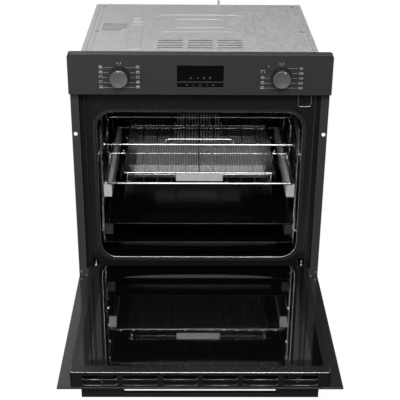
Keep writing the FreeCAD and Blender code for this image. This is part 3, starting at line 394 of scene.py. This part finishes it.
def cylinder(name, axis, radius, span, centre, sides=32):
    """A round bar along an axis; centre gives the other two coordinates."""
    bpy.ops.object.select_all(action="DESELECT")
    turn = {"X": (0, math.pi / 2, 0), "Y": (math.pi / 2, 0, 0), "Z": (0, 0, 0)}[axis]
    middle = list(centre)
    middle.insert("XYZ".index(axis), sum(span) / 2)
    bpy.ops.mesh.primitive_cylinder_add(vertices=sides, radius=radius * MM, depth=(span[1] - span[0]) * MM,
                                        location=Vector(middle) * MM, rotation=turn)
    return settle(bpy.context.object, name)


def pick(piece, kind, test):
    """Go into edit mode with just those faces, edges or corners selected that pass the test.

    The test gets the middle in millimetres and, for a face, its normal.
    """
    take(piece)
    bpy.ops.object.mode_set(mode="EDIT")
    bpy.ops.mesh.select_mode(type=kind)
    bpy.ops.mesh.select_all(action="DESELECT")
    bpy.ops.object.mode_set(mode="OBJECT")
    mesh = piece.data
    if kind == "FACE":
        for face in mesh.polygons:
            face.select = test(face.center / MM, face.normal)
    elif kind == "EDGE":
        for edge in mesh.edges:
            ends = [mesh.vertices[n].co / MM for n in edge.vertices]
            edge.select = test((ends[0] + ends[1]) / 2, ends[1] - ends[0])
    else:
        for corner in mesh.vertices:
            corner.select = test(corner.co / MM, None)
    bpy.ops.object.mode_set(mode="EDIT")


def leave():
    """Back from edit mode."""
    bpy.ops.object.mode_set(mode="OBJECT")


def modify(piece, kind, **settings):
    """Add a modifier, set it and apply it."""
    take(piece)
    modifier = piece.modifiers.new(kind.lower(), kind)
    for key, value in settings.items():
        setattr(modifier, key, value)
    bpy.ops.object.modifier_apply(modifier=modifier.name)
    return piece


def soften(piece, width, segments=2, angle=40):
    """Round the sharp edges by a width in millimetres, and keep the flat faces flat."""
    smooth(piece, 38)
    return modify(piece, "BEVEL", width=width * MM, segments=segments, limit_method="ANGLE",
                  angle_limit=math.radians(angle), use_clamp_overlap=False, harden_normals=True)


def smooth(piece, angle=38):
    """Shade smooth, except over edges sharper than the angle in degrees."""
    take(piece)
    bpy.ops.object.shade_smooth_by_angle(angle=math.radians(angle))
    return piece


def merged_copy(node, name):
    """A CAD node's mesh with its triangles joined to whole faces, ready to be finished."""
    piece = bpy.data.objects.new(name, frame["nodes"][node].data.copy())
    bpy.context.scene.collection.objects.link(piece)
    take(piece)
    bpy.ops.object.mode_set(mode="EDIT")
    bpy.ops.mesh.select_all(action="SELECT")
    bpy.ops.mesh.remove_doubles(threshold=0.004 * MM)
    bpy.ops.mesh.dissolve_limited(angle_limit=math.radians(0.6))
    leave()
    return piece


def join(name, pieces):
    """Several pieces as one mesh."""
    take(pieces[0])
    for piece in pieces:
        piece.select_set(True)
    bpy.ops.object.join()
    return settle(bpy.context.object, name)


def tube(name, points, radius, closed=False, bend=0, resolution=3):
    """A wire of a radius through points in millimetres, its corners rounded by a bend radius."""
    bpy.ops.object.select_all(action="DESELECT")
    bpy.ops.curve.primitive_bezier_curve_add()
    piece = bpy.context.object
    curve = piece.data
    curve.splines.clear()
    route = rounded_route(points, bend, closed) if bend else [Vector(p) for p in points]
    spline = curve.splines.new("POLY")
    spline.points.add(len(route) - 1)
    for spot, point in zip(spline.points, route):
        spot.co = (*(point * MM), 1)
    spline.use_cyclic_u = closed
    curve.dimensions = "3D"
    curve.bevel_depth = radius * MM
    curve.bevel_resolution = resolution
    curve.use_fill_caps = not closed
    piece.location = (0, 0, 0)
    take(piece)
    bpy.ops.object.convert(target="MESH")
    return smooth(settle(bpy.context.object, name), 60)


def rounded_route(points, bend, closed, steps=5):
    """The points of a route whose corners are arcs of one radius."""
    points = [Vector(p) for p in points]
    count = len(points)
    route = []
    for n, corner in enumerate(points):
        if not closed and n in (0, count - 1):
            route.append(corner)
            continue
        before = (points[n - 1] - corner).normalized()
        after = (points[(n + 1) % count] - corner).normalized()
        half = before.angle(after) / 2
        if half > math.radians(88):
            route.append(corner)
            continue
        centre = corner + (before + after).normalized() * (bend / math.sin(half))
        first = (corner + before * (bend / math.tan(half)) - centre).normalized()
        last = (corner + after * (bend / math.tan(half)) - centre).normalized()
        for step in range(steps + 1):
            route.append(centre + first.slerp(last, step / steps) * bend)
    return route


def finish(piece, node, material=None, replaces=True):
    """The piece rides with a CAD node, takes its finish, and may stand for it."""
    piece.data.materials.clear()
    piece.data.materials.append(material or FINISH[SLOT_OF[node]])
    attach(piece, BODY_OF[node])
    if replaces:
        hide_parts(node)
    return piece


def box_mm(node):
    """The two corners of a node's box in millimetres."""
    low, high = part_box(node)
    return low / MM, high / MM


def front_centre(node):
    """X and Z of the middle of a node's box in millimetres."""
    low, high = box_mm(node)
    return (low.x + high.x) / 2, (low.z + high.z) / 2


# ---------------------------------------------------------------- camera, light and floor

def camera():
    """A long lens in front of the oven, looking down on it."""
    data = bpy.data.cameras.new("camera")
    data.lens, data.sensor_width = 87.17, 36
    data.clip_start, data.clip_end = 0.05, 60
    item = bpy.data.objects.new("camera", data)
    bpy.context.scene.collection.objects.link(item)
    pitch, yaw, roll = math.radians(25.73), math.radians(0.70), math.radians(0.47)
    ahead = Vector((math.sin(yaw) * math.cos(pitch), math.cos(yaw) * math.cos(pitch), -math.sin(pitch)))
    right = Vector((math.cos(yaw), -math.sin(yaw), 0))
    over = right.cross(ahead)
    level = right * math.cos(roll) + over * math.sin(roll)
    upward = over * math.cos(roll) - right * math.sin(roll)
    item.matrix_world = Matrix((level, upward, -ahead)).transposed().to_4x4()
    item.location = (-0.02385, -2.1015, 1.2378)
    bpy.context.scene.camera = item


def softbox(name, place, target, width, height, power):
    """A rectangular area light of so many watts at a place, turned to a target, in metres."""
    data = bpy.data.lights.new(name, "AREA")
    data.shape, data.size, data.size_y, data.energy = "RECTANGLE", width, height, power
    item = bpy.data.objects.new(name, data)
    bpy.context.scene.collection.objects.link(item)
    item.location = place
    item.rotation_euler = (Vector(target) - Vector(place)).to_track_quat("-Z", "Y").to_euler()


def studio():
    """A dim room, softboxes above, in front, on the left and behind, and a mid-grey floor.

    The camera sees room and floor as plain white. All other rays see them as they are: the room nearly dark
    overhead, with a low grey band on both sides, so that black glass and enamel stay black.
    """
    world = bpy.data.worlds.new("studio")
    bpy.context.scene.world = world
    world.use_nodes = True
    tree = world.node_tree
    direction = add(tree, "TexCoord")
    parts = add(tree, "SeparateXYZ", links={"Vector": (direction, "Generated")})
    sky = add(tree, "MapRange", {"From Min": 0.1, "From Max": 0.9, "To Min": 0.008, "To Max": 0.04},
              {"Value": (parts, "Z")})
    sideways = add(tree, "Math", {"operation": "ABSOLUTE"}, {0: (parts, "X")})
    beside = add(tree, "MapRange", {"From Min": 0.4, "From Max": 0.9, "To Max": 0.5},
                 {"Value": (sideways, "Value")})
    height = add(tree, "Math", {"operation": "ABSOLUTE"}, {0: (parts, "Z")})
    low_band = add(tree, "MapRange", {"From Min": 0.12, "From Max": 0.27, "To Min": 1.0, "To Max": 0.0},
                   {"Value": (height, "Value")})
    walls = add(tree, "Math", {"operation": "MULTIPLY"}, {0: (beside, "Result"), 1: (low_band, "Result")})
    light = add(tree, "Math", {"operation": "ADD"}, {0: (walls, "Value"), 1: (sky, "Result")})
    seen = add(tree, "LightPath")
    strength = add(tree, "Math", {"operation": "MAXIMUM"}, {0: (light, "Value"), 1: (seen, "Is Camera Ray")})
    tree.links.new(strength.outputs["Value"], tree.nodes["Background"].inputs["Strength"])
    tree.nodes["Background"].inputs["Color"].default_value = (1, 1, 1, 1)
    softbox("top_softbox", (0.2, 0.5, 2.2), (0, 0.2, 0.5), 2.2, 1.4, 36)
    softbox("left_softbox", (-1.2, -0.8, 0.75), (-0.3, 0, 0.4), 0.5, 1.3, 10)
    softbox("back_left_softbox", (-0.62, 1.6, 1.25), (-0.3, -0.2, 0.1), 0.5, 0.9, 1.1)
    softbox("key_softbox", (0.1, -2.5, 2.1), (0, 0, 0.3), 1.6, 0.9, 70)
    bpy.ops.object.select_all(action="DESELECT")
    floor_size, floor_drop = 60, 300 * MM
    bpy.ops.mesh.primitive_plane_add(size=floor_size, location=(0, 1, cad_box[0].z - floor_drop))
    floor = bpy.context.object
    floor.name = "floor"
    made, tree, shader, place = surface("white_paper_sweep", Roughness=0.9)
    grain(tree, shader, place, 40, 0.05, rough=(0.88, 0.95), base=("505050", "545454"))
    glow = add(tree, "Emission", {"Strength": 1.0})
    seen = add(tree, "LightPath")
    mixed = add(tree, "MixShader",
                links={0: (seen, "Is Camera Ray"), 1: (shader, "BSDF"), 2: (glow, "Emission")})
    output = next(node for node in tree.nodes if node.type == "OUTPUT_MATERIAL")
    tree.links.new(mixed.outputs["Shader"], output.inputs["Surface"])
    floor.data.materials.append(made)
    bpy.context.scene.view_settings.view_transform = "Standard"


# ---------------------------------------------------------------- pieces

# the edge radius of each piece in millimetres
SOFT_EDGES = {
    "control_panel": 0.9, "display_glass": 0.3, "door_inner_glass": 0.6, "door_top_cap": 0.7,
    "door_handle": 0.9, "front_frame": 0.5, "corner_brackets": 0.35, "latch_plate": 0.7,
    "basket_plate": 0.3, "left_side_panel": 0.3, "right_side_panel": 0.3, "rear_panel": 0.3,
    "base_pan": 0.3, "hinge_boxes": 0.4, "terminal_box": 0.8, "knob_collars": 0.4, "fan_cover": 0.5,
    "hinge_arms": 0.4, "hinge_channels": 0.4, "door_frame": 0.3, "case_screws": 0.35, "cable_gland": 0.6,
    "rack_rail_runners": 0.5, "tray_rail_runners": 0.5, "blower_housing": 0.4, "blower_motor": 0.8,
    "fan_motor": 0.8, "lamp_lens": 0.8,
}
# pieces whose finish isn't their slot's
PAINTED = {"door_top_cap": GLOSS_PAINT, "door_frame": GLOSS_PAINT, "door_handle": FINISH["dark_plastic"],
           "basket_plate": BLASTED, "rack_rail_runners": BLASTED}
ROUND_WIRES = ("side_ladders", "upper_rack", "lower_rack", "basket_frame", "grill_element",
               "lower_element", "ring_element", "hinge_springs")


def softened_metalwork():
    """The listed sheet-metal, glass and moulded pieces get an edge radius, and the wires smooth sides."""
    for node, width in SOFT_EDGES.items():
        finish(soften(merged_copy(node, node + "_edged"), width), node, PAINTED.get(node))
    for node in ROUND_WIRES:
        finish(smooth(merged_copy(node, node + "_drawn"), 50), node)


def outer_door_glass():
    """The outer pane with its ground edge."""
    pane = soften(merged_copy("door_outer_glass", "door_outer_glass_ground"), 0.9)
    # the grey base of this glass is a painted reflection in the door's margins
    finish(pane, "door_outer_glass", MARGIN_GLASS)


def woven_basket():
    """Wire cloth pressed to a tray: a grid whose crossings go over and under, with its walls drawn up."""
    low, high = box_mm("basket_mesh")
    pitch, rings, inset, wire = 6.4, 5, 23, 1.1
    wave, slack, take_in = 0.8, 0.02, 0.999
    width, length = high.x - low.x - 2 * inset, high.y - low.y - 2 * inset
    columns, rows = round(width / pitch), round(length / pitch)
    centre = Vector(((low.x + high.x) / 2, (low.y + high.y) / 2, low.z + wire))
    bpy.ops.object.select_all(action="DESELECT")
    bpy.ops.mesh.primitive_grid_add(x_subdivisions=columns, y_subdivisions=rows, size=1, location=centre * MM)
    piece = bpy.context.object
    piece.scale = (width * MM, length * MM, 1)
    settle(piece, "woven_basket")

    def rising(place, _):
        column = round((place.x - centre.x + width / 2) / width * columns)
        row = round((place.y - centre.y + length / 2) / length * rows)
        return (column + row) % 2 == 0

    pick(piece, "VERT", rising)
    bpy.ops.transform.translate(value=(0, 0, wave * MM))
    leave()
    pick(piece, "EDGE", lambda place, run: (
        abs(abs(place.x - centre.x) - width / 2) < slack and abs(run.x) < slack
        or abs(abs(place.y - centre.y) - length / 2) < slack and abs(run.y) < slack))
    rise = (high.z - centre.z - wire / 2) / rings
    for ring in range(rings):
        before = [side + 2 * inset * ring / rings for side in (width, length)]
        after = [side + 2 * inset * (ring + 1) / rings for side in (width, length)]
        bpy.ops.mesh.extrude_edges_move(TRANSFORM_OT_translate={"value": (0, 0, rise * MM)})
        growth = (after[0] / before[0] * take_in, after[1] / before[1] * take_in, 1)
        bpy.ops.transform.resize(value=growth, center_override=centre * MM)
    leave()
    modify(piece, "WIREFRAME", thickness=wire * MM, use_even_offset=False, use_boundary=True)
    finish(smooth(piece, 50), "basket_mesh", WOVEN_WIRE)


def basket_wires():
    """The divider down the middle of the basket, and the second wire of its rim."""
    low, high = box_mm("basket_mesh")
    middle = (low.x + high.x) / 2
    base = low.z + 3
    divider = tube("basket_divider", [(middle, low.y + 1, high.z), (middle, low.y + 23, base),
                                      (middle, high.y - 23, base), (middle, high.y - 1, high.z)], 1.3, bend=6)
    finish(divider, "basket_frame", replaces=False)
    x, y, z = high.x - 5, (low.y + 5, high.y - 5), high.z - 4.5
    rim = tube("basket_lower_rim", [(x, y[0], z), (x, y[1], z), (-x, y[1], z), (-x, y[0], z)], 1.2,
               closed=True, bend=9)
    finish(rim, "basket_frame", replaces=False)


def pressed_tray(node, rim_top, depth, lip_width=0):
    """Enamelled tray: a flat rim, drawn walls with round corners, and a raised panel in its floor."""
    low, high = box_mm(node)
    side, end, taper, sheet = 26, 14, 9, 1
    panel_margin, panel_slope, panel_rise = 26, 3, 1.6
    wall_corner, rim_corner, lip_height = 16, 9, 10.5
    centre = Vector(((low.x + high.x) / 2, (low.y + high.y) / 2, rim_top))
    width, length = high.x - low.x - 2, high.y - low.y - 2
    bpy.ops.object.select_all(action="DESELECT")
    bpy.ops.mesh.primitive_plane_add(size=1, location=centre * MM)
    piece = bpy.context.object
    piece.scale = (width * MM, length * MM, 1)
    settle(piece, node + "_pressed")
    pick(piece, "FACE", lambda place, normal: True)
    bpy.ops.mesh.inset(thickness=end * MM)
    mouth = (width - 2 * side, length - 2 * end)
    bpy.ops.transform.resize(value=(mouth[0] / (width - 2 * end), 1, 1), center_override=centre * MM)
    bpy.ops.mesh.extrude_region_move(TRANSFORM_OT_translate={"value": (0, 0, (sheet - depth) * MM)})
    floor = (mouth[0] - 2 * taper, mouth[1] - 2 * taper)
    bpy.ops.transform.resize(value=(floor[0] / mouth[0], floor[1] / mouth[1], 1), center_override=centre * MM)
    bpy.ops.mesh.inset(thickness=panel_margin * MM)
    bpy.ops.mesh.inset(thickness=panel_slope * MM)
    bpy.ops.transform.translate(value=(0, 0, panel_rise * MM))
    leave()
    pick(piece, "EDGE", lambda place, run: abs(run.x) > 1 and abs(run.y) > 1 and abs(run.z) > 5)
    bpy.ops.mesh.bevel(offset=wall_corner * MM, segments=5, affect="EDGES")
    leave()
    pick(piece, "VERT", lambda place, _: abs(abs(place.x - centre.x) - width / 2) < 0.1
         and abs(abs(place.y - centre.y) - length / 2) < 0.1)
    bpy.ops.mesh.bevel(offset=rim_corner * MM, segments=5, affect="VERTICES")
    leave()
    modify(piece, "BEVEL", width=2.6 * MM, segments=3, limit_method="ANGLE", angle_limit=math.radians(15),
           use_clamp_overlap=True)
    modify(piece, "SOLIDIFY", thickness=sheet * MM, offset=-1)
    parts = [smooth(piece, 45)]
    x, y = width / 2, (centre.y - length / 2, centre.y + length / 2)
    z = rim_top - sheet / 2
    parts.append(tube("rolled_edge", [(x, y[0], z), (x, y[1], z), (-x, y[1], z), (-x, y[0], z)], 0.95,
                      closed=True, bend=rim_corner))
    if lip_width:
        bpy.ops.object.select_all(action="DESELECT")
        bpy.ops.mesh.primitive_circle_add(vertices=72, radius=1, fill_type="NGON",
                                          rotation=(math.pi / 2, 0, 0),
                                          location=Vector((0, low.y + 0.9, z)) * MM)
        lip = bpy.context.object
        lip.scale = (lip_width / 2 * MM, lip_height * MM, 1)
        settle(lip, "grip_lip")
        pick(lip, "FACE", lambda place, normal: True)
        bpy.ops.mesh.bisect(plane_co=Vector((0, 0, z)) * MM, plane_no=(0, 0, 1), clear_outer=True)
        leave()
        modify(lip, "SOLIDIFY", thickness=1 * MM, offset=0)
        parts.append(soften(lip, 0.35))
    return finish(join(node + "_pressed", parts), node)


def trays():
    """Both trays; the deep one has a lip to grip it by."""
    pressed_tray("shallow_tray", box_mm("shallow_tray")[1].z, 20)
    pressed_tray("deep_tray", box_mm("deep_tray")[1].z, 38, lip_width=380)


# what is printed on the panel: each mark is a list of strokes on a square one unit wide
BOX = [((-.5, -.4), (.5, -.4)), ((.5, -.4), (.5, .4)), ((.5, .4), (-.5, .4)), ((-.5, .4), (-.5, -.4))]
UPPER, LOWER = [((-.3, .22), (.3, .22))], [((-.3, -.22), (.3, -.22))]
BLADES = [((-.2, 0), (.2, 0)), ((0, -.2), (0, .2))]
RAYS = [((-.15, -.15), (.15, .15)), ((-.15, .15), (.15, -.15))]
WAVE = [((-.3, .2), (-.1, .05)), ((-.1, .05), (.1, .2)), ((.1, .2), (.3, .05))]
ARCH = [((-.5, -.4), (-.5, .4)), ((-.5, .4), (.5, .4)), ((.5, .4), (.5, -.4))]
CHEVRON = [((-.5, -.25), (0, .25)), ((0, .25), (.5, -.25))]
LEFT_MARKS = (BOX + RAYS + BLADES, BOX + BLADES, ARCH, BOX[2:] + LOWER, BOX + LOWER)
RIGHT_MARKS = (BOX + WAVE, BOX + WAVE + BLADES, BOX, BOX + UPPER + LOWER + BLADES, BOX + RAYS + UPPER)


def strokes(marks, centre, span, y, width=0.5, flip=1):
    """Thin raised bars for the strokes of one mark, span millimetres wide, on the panel's face."""
    bars = []
    for start, end in marks:
        a = Vector((centre[0] + start[0] * span, 0, centre[1] + start[1] * span * flip))
        b = Vector((centre[0] + end[0] * span, 0, centre[1] + end[1] * span * flip))
        run = b - a
        bpy.ops.mesh.primitive_cube_add(size=1, location=Vector(((a.x + b.x) / 2, y, (a.z + b.z) / 2)) * MM,
                                        rotation=(0, -math.atan2(run.z, run.x), 0))
        bar = bpy.context.object
        bar.scale = Vector((run.length + width, 0.12, width)) * MM
        bars.append(bar)
    return bars


def circle_mark(x, z, radius, y, thick=0.28):
    """A thin ring on the panel's face."""
    bpy.ops.mesh.primitive_torus_add(major_radius=radius * MM, minor_radius=thick * MM, major_segments=28,
                                     minor_segments=6, location=Vector((x, y + thick * 0.7, z)) * MM,
                                     rotation=(math.pi / 2, 0, 0))
    return bpy.context.object


def number(text, x, z, height, y):
    """A generic number of a dial, standing on the panel's face."""
    bpy.ops.object.select_all(action="DESELECT")
    foot = Vector((x, y + 0.05, z - height * 0.35))
    bpy.ops.object.text_add(location=foot * MM, rotation=(math.pi / 2, 0, 0))
    item = bpy.context.object
    item.data.body = text
    item.data.size = height * MM
    item.data.extrude = 0.06 * MM
    item.data.align_x = "CENTER"
    item.data.resolution_u = 3
    take(item)
    bpy.ops.object.convert(target="MESH")
    return bpy.context.object


def printing():
    """Marks round both knobs, with a fine line from each to the knob."""
    face = box_mm("control_panel")[0].y - 0.03
    left, axis_z = front_centre("left_knob")
    right = front_centre("right_knob")[0]
    row_pitch, out, clear = 11.6, 41.5, 24.5
    rows = [axis_z + 21 - row_pitch * n for n in range(5)]
    ink = []
    for x, marks in ((left - out, LEFT_MARKS), (left + out, RIGHT_MARKS)):
        for z, mark in zip(rows, marks):
            ink += strokes(mark, (x, z), 6.4, face, 0.75)
    for n, text in enumerate(("50", "100", "150", "200", "250")):
        ink.append(number(text, right + 44, rows[n] - 1.5, 7, face))
    ink += strokes(ARCH, (right - out, rows[1] + 2), 8, face, 0.7)
    for z, inner in zip(rows[2:], (BLADES, UPPER, LOWER)):
        ink += strokes(BOX + inner, (right - out - 0.5, z), 6.2, face, 0.7)
        ink += strokes(BOX[:1], (right - out + 6, z), 4, face, 0.5)
    for x in (left, right):
        for z in rows:
            reach = math.sqrt(max(clear ** 2 - (z - axis_z) ** 2, 64)) + 2
            for way in (-1, 1):
                if x > 0 and way < 0 and z in rows[:2]:
                    continue
                ink += strokes([((way * reach, 0), (way * 36, 0))], (x, z - 1.5), 1, face, 0.4)
        ink += strokes([((0, -.6), (0, .6))], (x, axis_z + 25.5), 1.6, face, 0.5)
        ink.append(circle_mark(x - 3.4, axis_z + 30, 1.9, face))
        ink += strokes(UPPER + LOWER + [((0, -.5), (0, .5))], (x + 3.4, axis_z + 30), 4.2, face, 0.5)
    finish(join("panel_print", ink), "control_panel", SCREEN_INK, replaces=False)
    lamp = cylinder("mains_lamp_window", "Y", 1.7, (face - 0.3, face + 0.5), (right - 29, axis_z + 24), 24)
    finish(soften(lamp, 0.3), "control_panel", UNLIT, replaces=False)


def clock_face():
    """The bar between window and keys, the key symbols and the unlit symbols behind the glass."""
    low, high = box_mm("display_glass")
    keys_top, window_bottom = low.z + 10.2, low.z + 13.6
    bar = cube("display_bar", (low.x - 0.1, low.y - 0.05, keys_top),
               (high.x + 0.1, high.y - 1, window_bottom))
    finish(soften(bar, 0.15), "control_panel", replaces=False)
    frame_bars = [cube("edge", (low.x - 0.5, low.y - 0.05, z), (high.x + 0.5, low.y + 1, z + 0.6))
                  for z in (low.z - 0.5, high.z - 0.1)]
    finish(join("display_edge", frame_bars), "control_panel", replaces=False)
    keys = []
    z = low.z + 5
    keys += strokes(CHEVRON, (-30, z), 5, low.y, 0.5)
    keys += strokes(CHEVRON, (30, z), 5, low.y, 0.5, flip=-1)
    keys.append(circle_mark(0, z, 2.4, low.y))
    for x in (-15, 15):
        keys += strokes([((0, -.5), (0, .5))], (x, z), 3.6, low.y, 0.6)
    finish(join("key_symbols", keys), "display_glass", UNLIT, replaces=False)
    signs = []
    z = low.z + 21.5
    signs.append(circle_mark(-21, z, 1.7, low.y, 0.5))
    signs += strokes(CHEVRON + LOWER, (-6, z), 3.2, low.y, 0.8)
    signs += strokes(BOX, (8, z), 3.8, low.y, 0.9)
    signs.append(circle_mark(22, z, 2.0, low.y, 0.7))
    finish(join("display_signs", signs), "display_glass", UNLIT, replaces=False)


def turned_knobs():
    """A skirt whose dark finish is painted shade on the knob's side wall, and a lacquered cap on it with a
    bright rim, a stainless ring that is a painted highlight, and a shallow dish in its middle.
    """
    for node in ("left_knob", "right_knob"):
        low, high = box_mm(node)
        radius = (high.x - low.x) / 2
        centre = front_centre(node)
        cap_back = low.y + 2.6
        rim_width, dish_slope, dish_depth = 1.6, 4.2, 1.9
        skirt = cylinder(node + "_skirt", "Y", radius, (cap_back, high.y), centre, 72)
        # the skirt's dark finish is painted shade: it stands in for the shade on the knob's upward side wall
        finish(soften(skirt, 0.5), node, FINISH["dark_plastic"])
        cap = cylinder(node + "_cap", "Y", radius - 0.1, (low.y, cap_back), centre, 72)
        pick(cap, "FACE", lambda place, normal: normal.y < -0.9)
        bpy.ops.mesh.inset(thickness=rim_width * MM)
        bpy.ops.mesh.inset(thickness=dish_slope * MM)
        bpy.ops.transform.translate(value=(0, dish_depth * MM, 0))
        leave()
        modify(cap, "BEVEL", width=0.5 * MM, segments=3, limit_method="ANGLE", angle_limit=math.radians(40))
        finish(smooth(cap, 30), node, replaces=False)
        ring = circle_mark(*centre, radius - 0.7, low.y, 0.42)
        # the stainless ring is a painted highlight along the cap's rim
        finish(smooth(settle(ring, node + "_rim"), 60), node, FINISH["stainless"], replaces=False)


def pointer_dots():
    """The white dot near each knob's rim; the right knob stands a little past its off position."""
    for node, turn in (("left_knob", -3), ("right_knob", 22)):
        front = box_mm(node)[0].y
        x, z = front_centre(node)
        reach, angle = 18.1, math.radians(turn)
        dot = cylinder(node + "_dot", "Y", 1.45, (front - 0.15, front + 1.4),
                       (x + reach * math.sin(angle), z + reach * math.cos(angle)), 24)
        finish(soften(dot, 0.2), node, WHITE_INK, replaces=False)


def pressed_ribs():
    """The round beads down both sides of the recess, and the edges of mouth and latch plate in bright
    stainless, which stands in for the highlights on their enamel edges: painted highlights.
    """
    low, high = box_mm("cavity_liner")
    front = box_mm("door_seal")[1].y
    sheet = 1.2
    x, z = high.x - sheet, (low.z + sheet, high.z - sheet)
    lip = tube("mouth_lip", [(x, front, z[0]), (x, front, z[1]), (-x, front, z[1]), (-x, front, z[0])], 1.0,
               closed=True, bend=40)
    # the lip's stainless finish is a painted highlight on the enamel's rolled edge
    finish(lip, "cavity_liner", FINISH["stainless"], replaces=False)
    for side, name in ((-1, "left_bead"), (1, "right_bead")):
        # far enough back to clear the shut door's cap
        bead = cylinder(name, "Z", 2.6, (62, 493), (side * 268, 17.3), 24)
        # the beads' paler finish is a painted highlight along their crowns
        finish(smooth(bead, 50), "front_frame", BEAD_HIGHLIGHT_FINISH, replaces=False)
    low, high = box_mm("latch_plate")
    y, z = low.y, (low.z + 0.7, high.z)
    rim = tube("latch_rim", [(low.x + 0.7, y, z[1]), (low.x + 0.7, y, z[0]), (high.x - 0.7, y, z[0]),
                             (high.x - 0.7, y, z[1])], 0.75, bend=5)
    # the rim's stainless finish is a painted highlight on the latch plate's edge
    finish(rim, "latch_plate", FINISH["stainless"], replaces=False)


def cap_trim():
    """The bright rolled rim along the door cap's upper edge, and the turned lower lip of each vent."""
    low, high = box_mm("door_top_cap")
    x, z = high.x - 0.6, high.z - 0.5
    rim = tube("cap_rim", [(x, high.y, z), (x, low.y + 0.6, z), (-x, low.y + 0.6, z), (-x, high.y, z)],
               0.8, bend=7)
    finish(rim, "door_top_cap", FINISH["stainless"], replaces=False)
    columns, pitch, row_pitch, first_row, half_width = 6, 83, 14.3, 4, 35.5
    y, lips = low.y - 0.1, []
    for column in range(columns):
        middle = (column - (columns - 1) / 2) * pitch
        start, end = middle - half_width, middle + half_width
        for row in (0, 1):
            z = low.z + first_row + row * row_pitch
            route = [(start, y, z + 4), (start + 2.5, y, z + 0.3), (end - 2.5, y, z + 0.3), (end, y, z + 4)]
            lips.append(tube("lip", route, 0.55, resolution=2))
    finish(join("vent_lips", lips), "door_top_cap", FINISH["zinc"], replaces=False)


def glass_border():
    """The opaque band printed round the inner pane."""
    low, high = box_mm("door_inner_glass")
    top, band = high.z + 0.03, 22
    strips = [cube("band", (low.x + 1, y, high.z - 0.5), (high.x - 1, y + band, top))
              for y in (low.y + 1, high.y - band - 1)]
    strips += [cube("band", (x, low.y + 1 + band, high.z - 0.5), (x + band, high.y - band - 1, top))
               for x in (low.x + 1, high.x - band - 1)]
    finish(join("inner_glass_border", strips), "door_inner_glass", FINISH["black_glass"], replaces=False)


def pressed_roof():
    """Stiffening beads pressed in the roof of the case: most of each round bar is sunk in the sheet."""
    radius, sunk, inner_rise = 2.4, 1.6, 1.5
    top = box_mm("left_side_panel")[1].z - sunk
    routes = {
        "roof_pad_bead": ([(-100, 270), (98, 270), (98, 402), (-100, 402)], True, 24),
        "roof_inner_bead": ([(-66, 296), (64, 296), (64, 376), (-66, 376)], True, 20),
        "roof_left_bead": ([(-175, 112), (-142, 112), (-142, 330), (-175, 330)], True, 8),
        "roof_notch_bead": ([(-172, 352), (-146, 352), (-146, 384), (-172, 384)], True, 5),
        "roof_right_bead": ([(122, 108), (140, 118), (140, 440), (128, 452)], False, 9),
        "roof_arch_bead": ([(-118, 240), (-118, 424), (118, 424), (118, 240)], False, 40),
        "roof_front_bead": ([(-250, 92), (250, 92)], False, 0),
        "roof_edge_left": ([(-256, 20), (-256, 512)], False, 0),
        "roof_edge_right": ([(256, 20), (256, 512)], False, 0),
    }
    for name, (route, closed, bend) in routes.items():
        level = top + inner_rise if name == "roof_inner_bead" else top
        bead = tube(name, [(x, y, level) for x, y in route], radius, closed=closed, bend=bend)
        finish(bead, "top_cover", replaces=False)


camera()
studio()
softened_metalwork()
outer_door_glass()
woven_basket()
basket_wires()
trays()
turned_knobs()
printing()
clock_face()
pointer_dots()
pressed_ribs()
cap_trim()
glass_border()
pressed_roof()
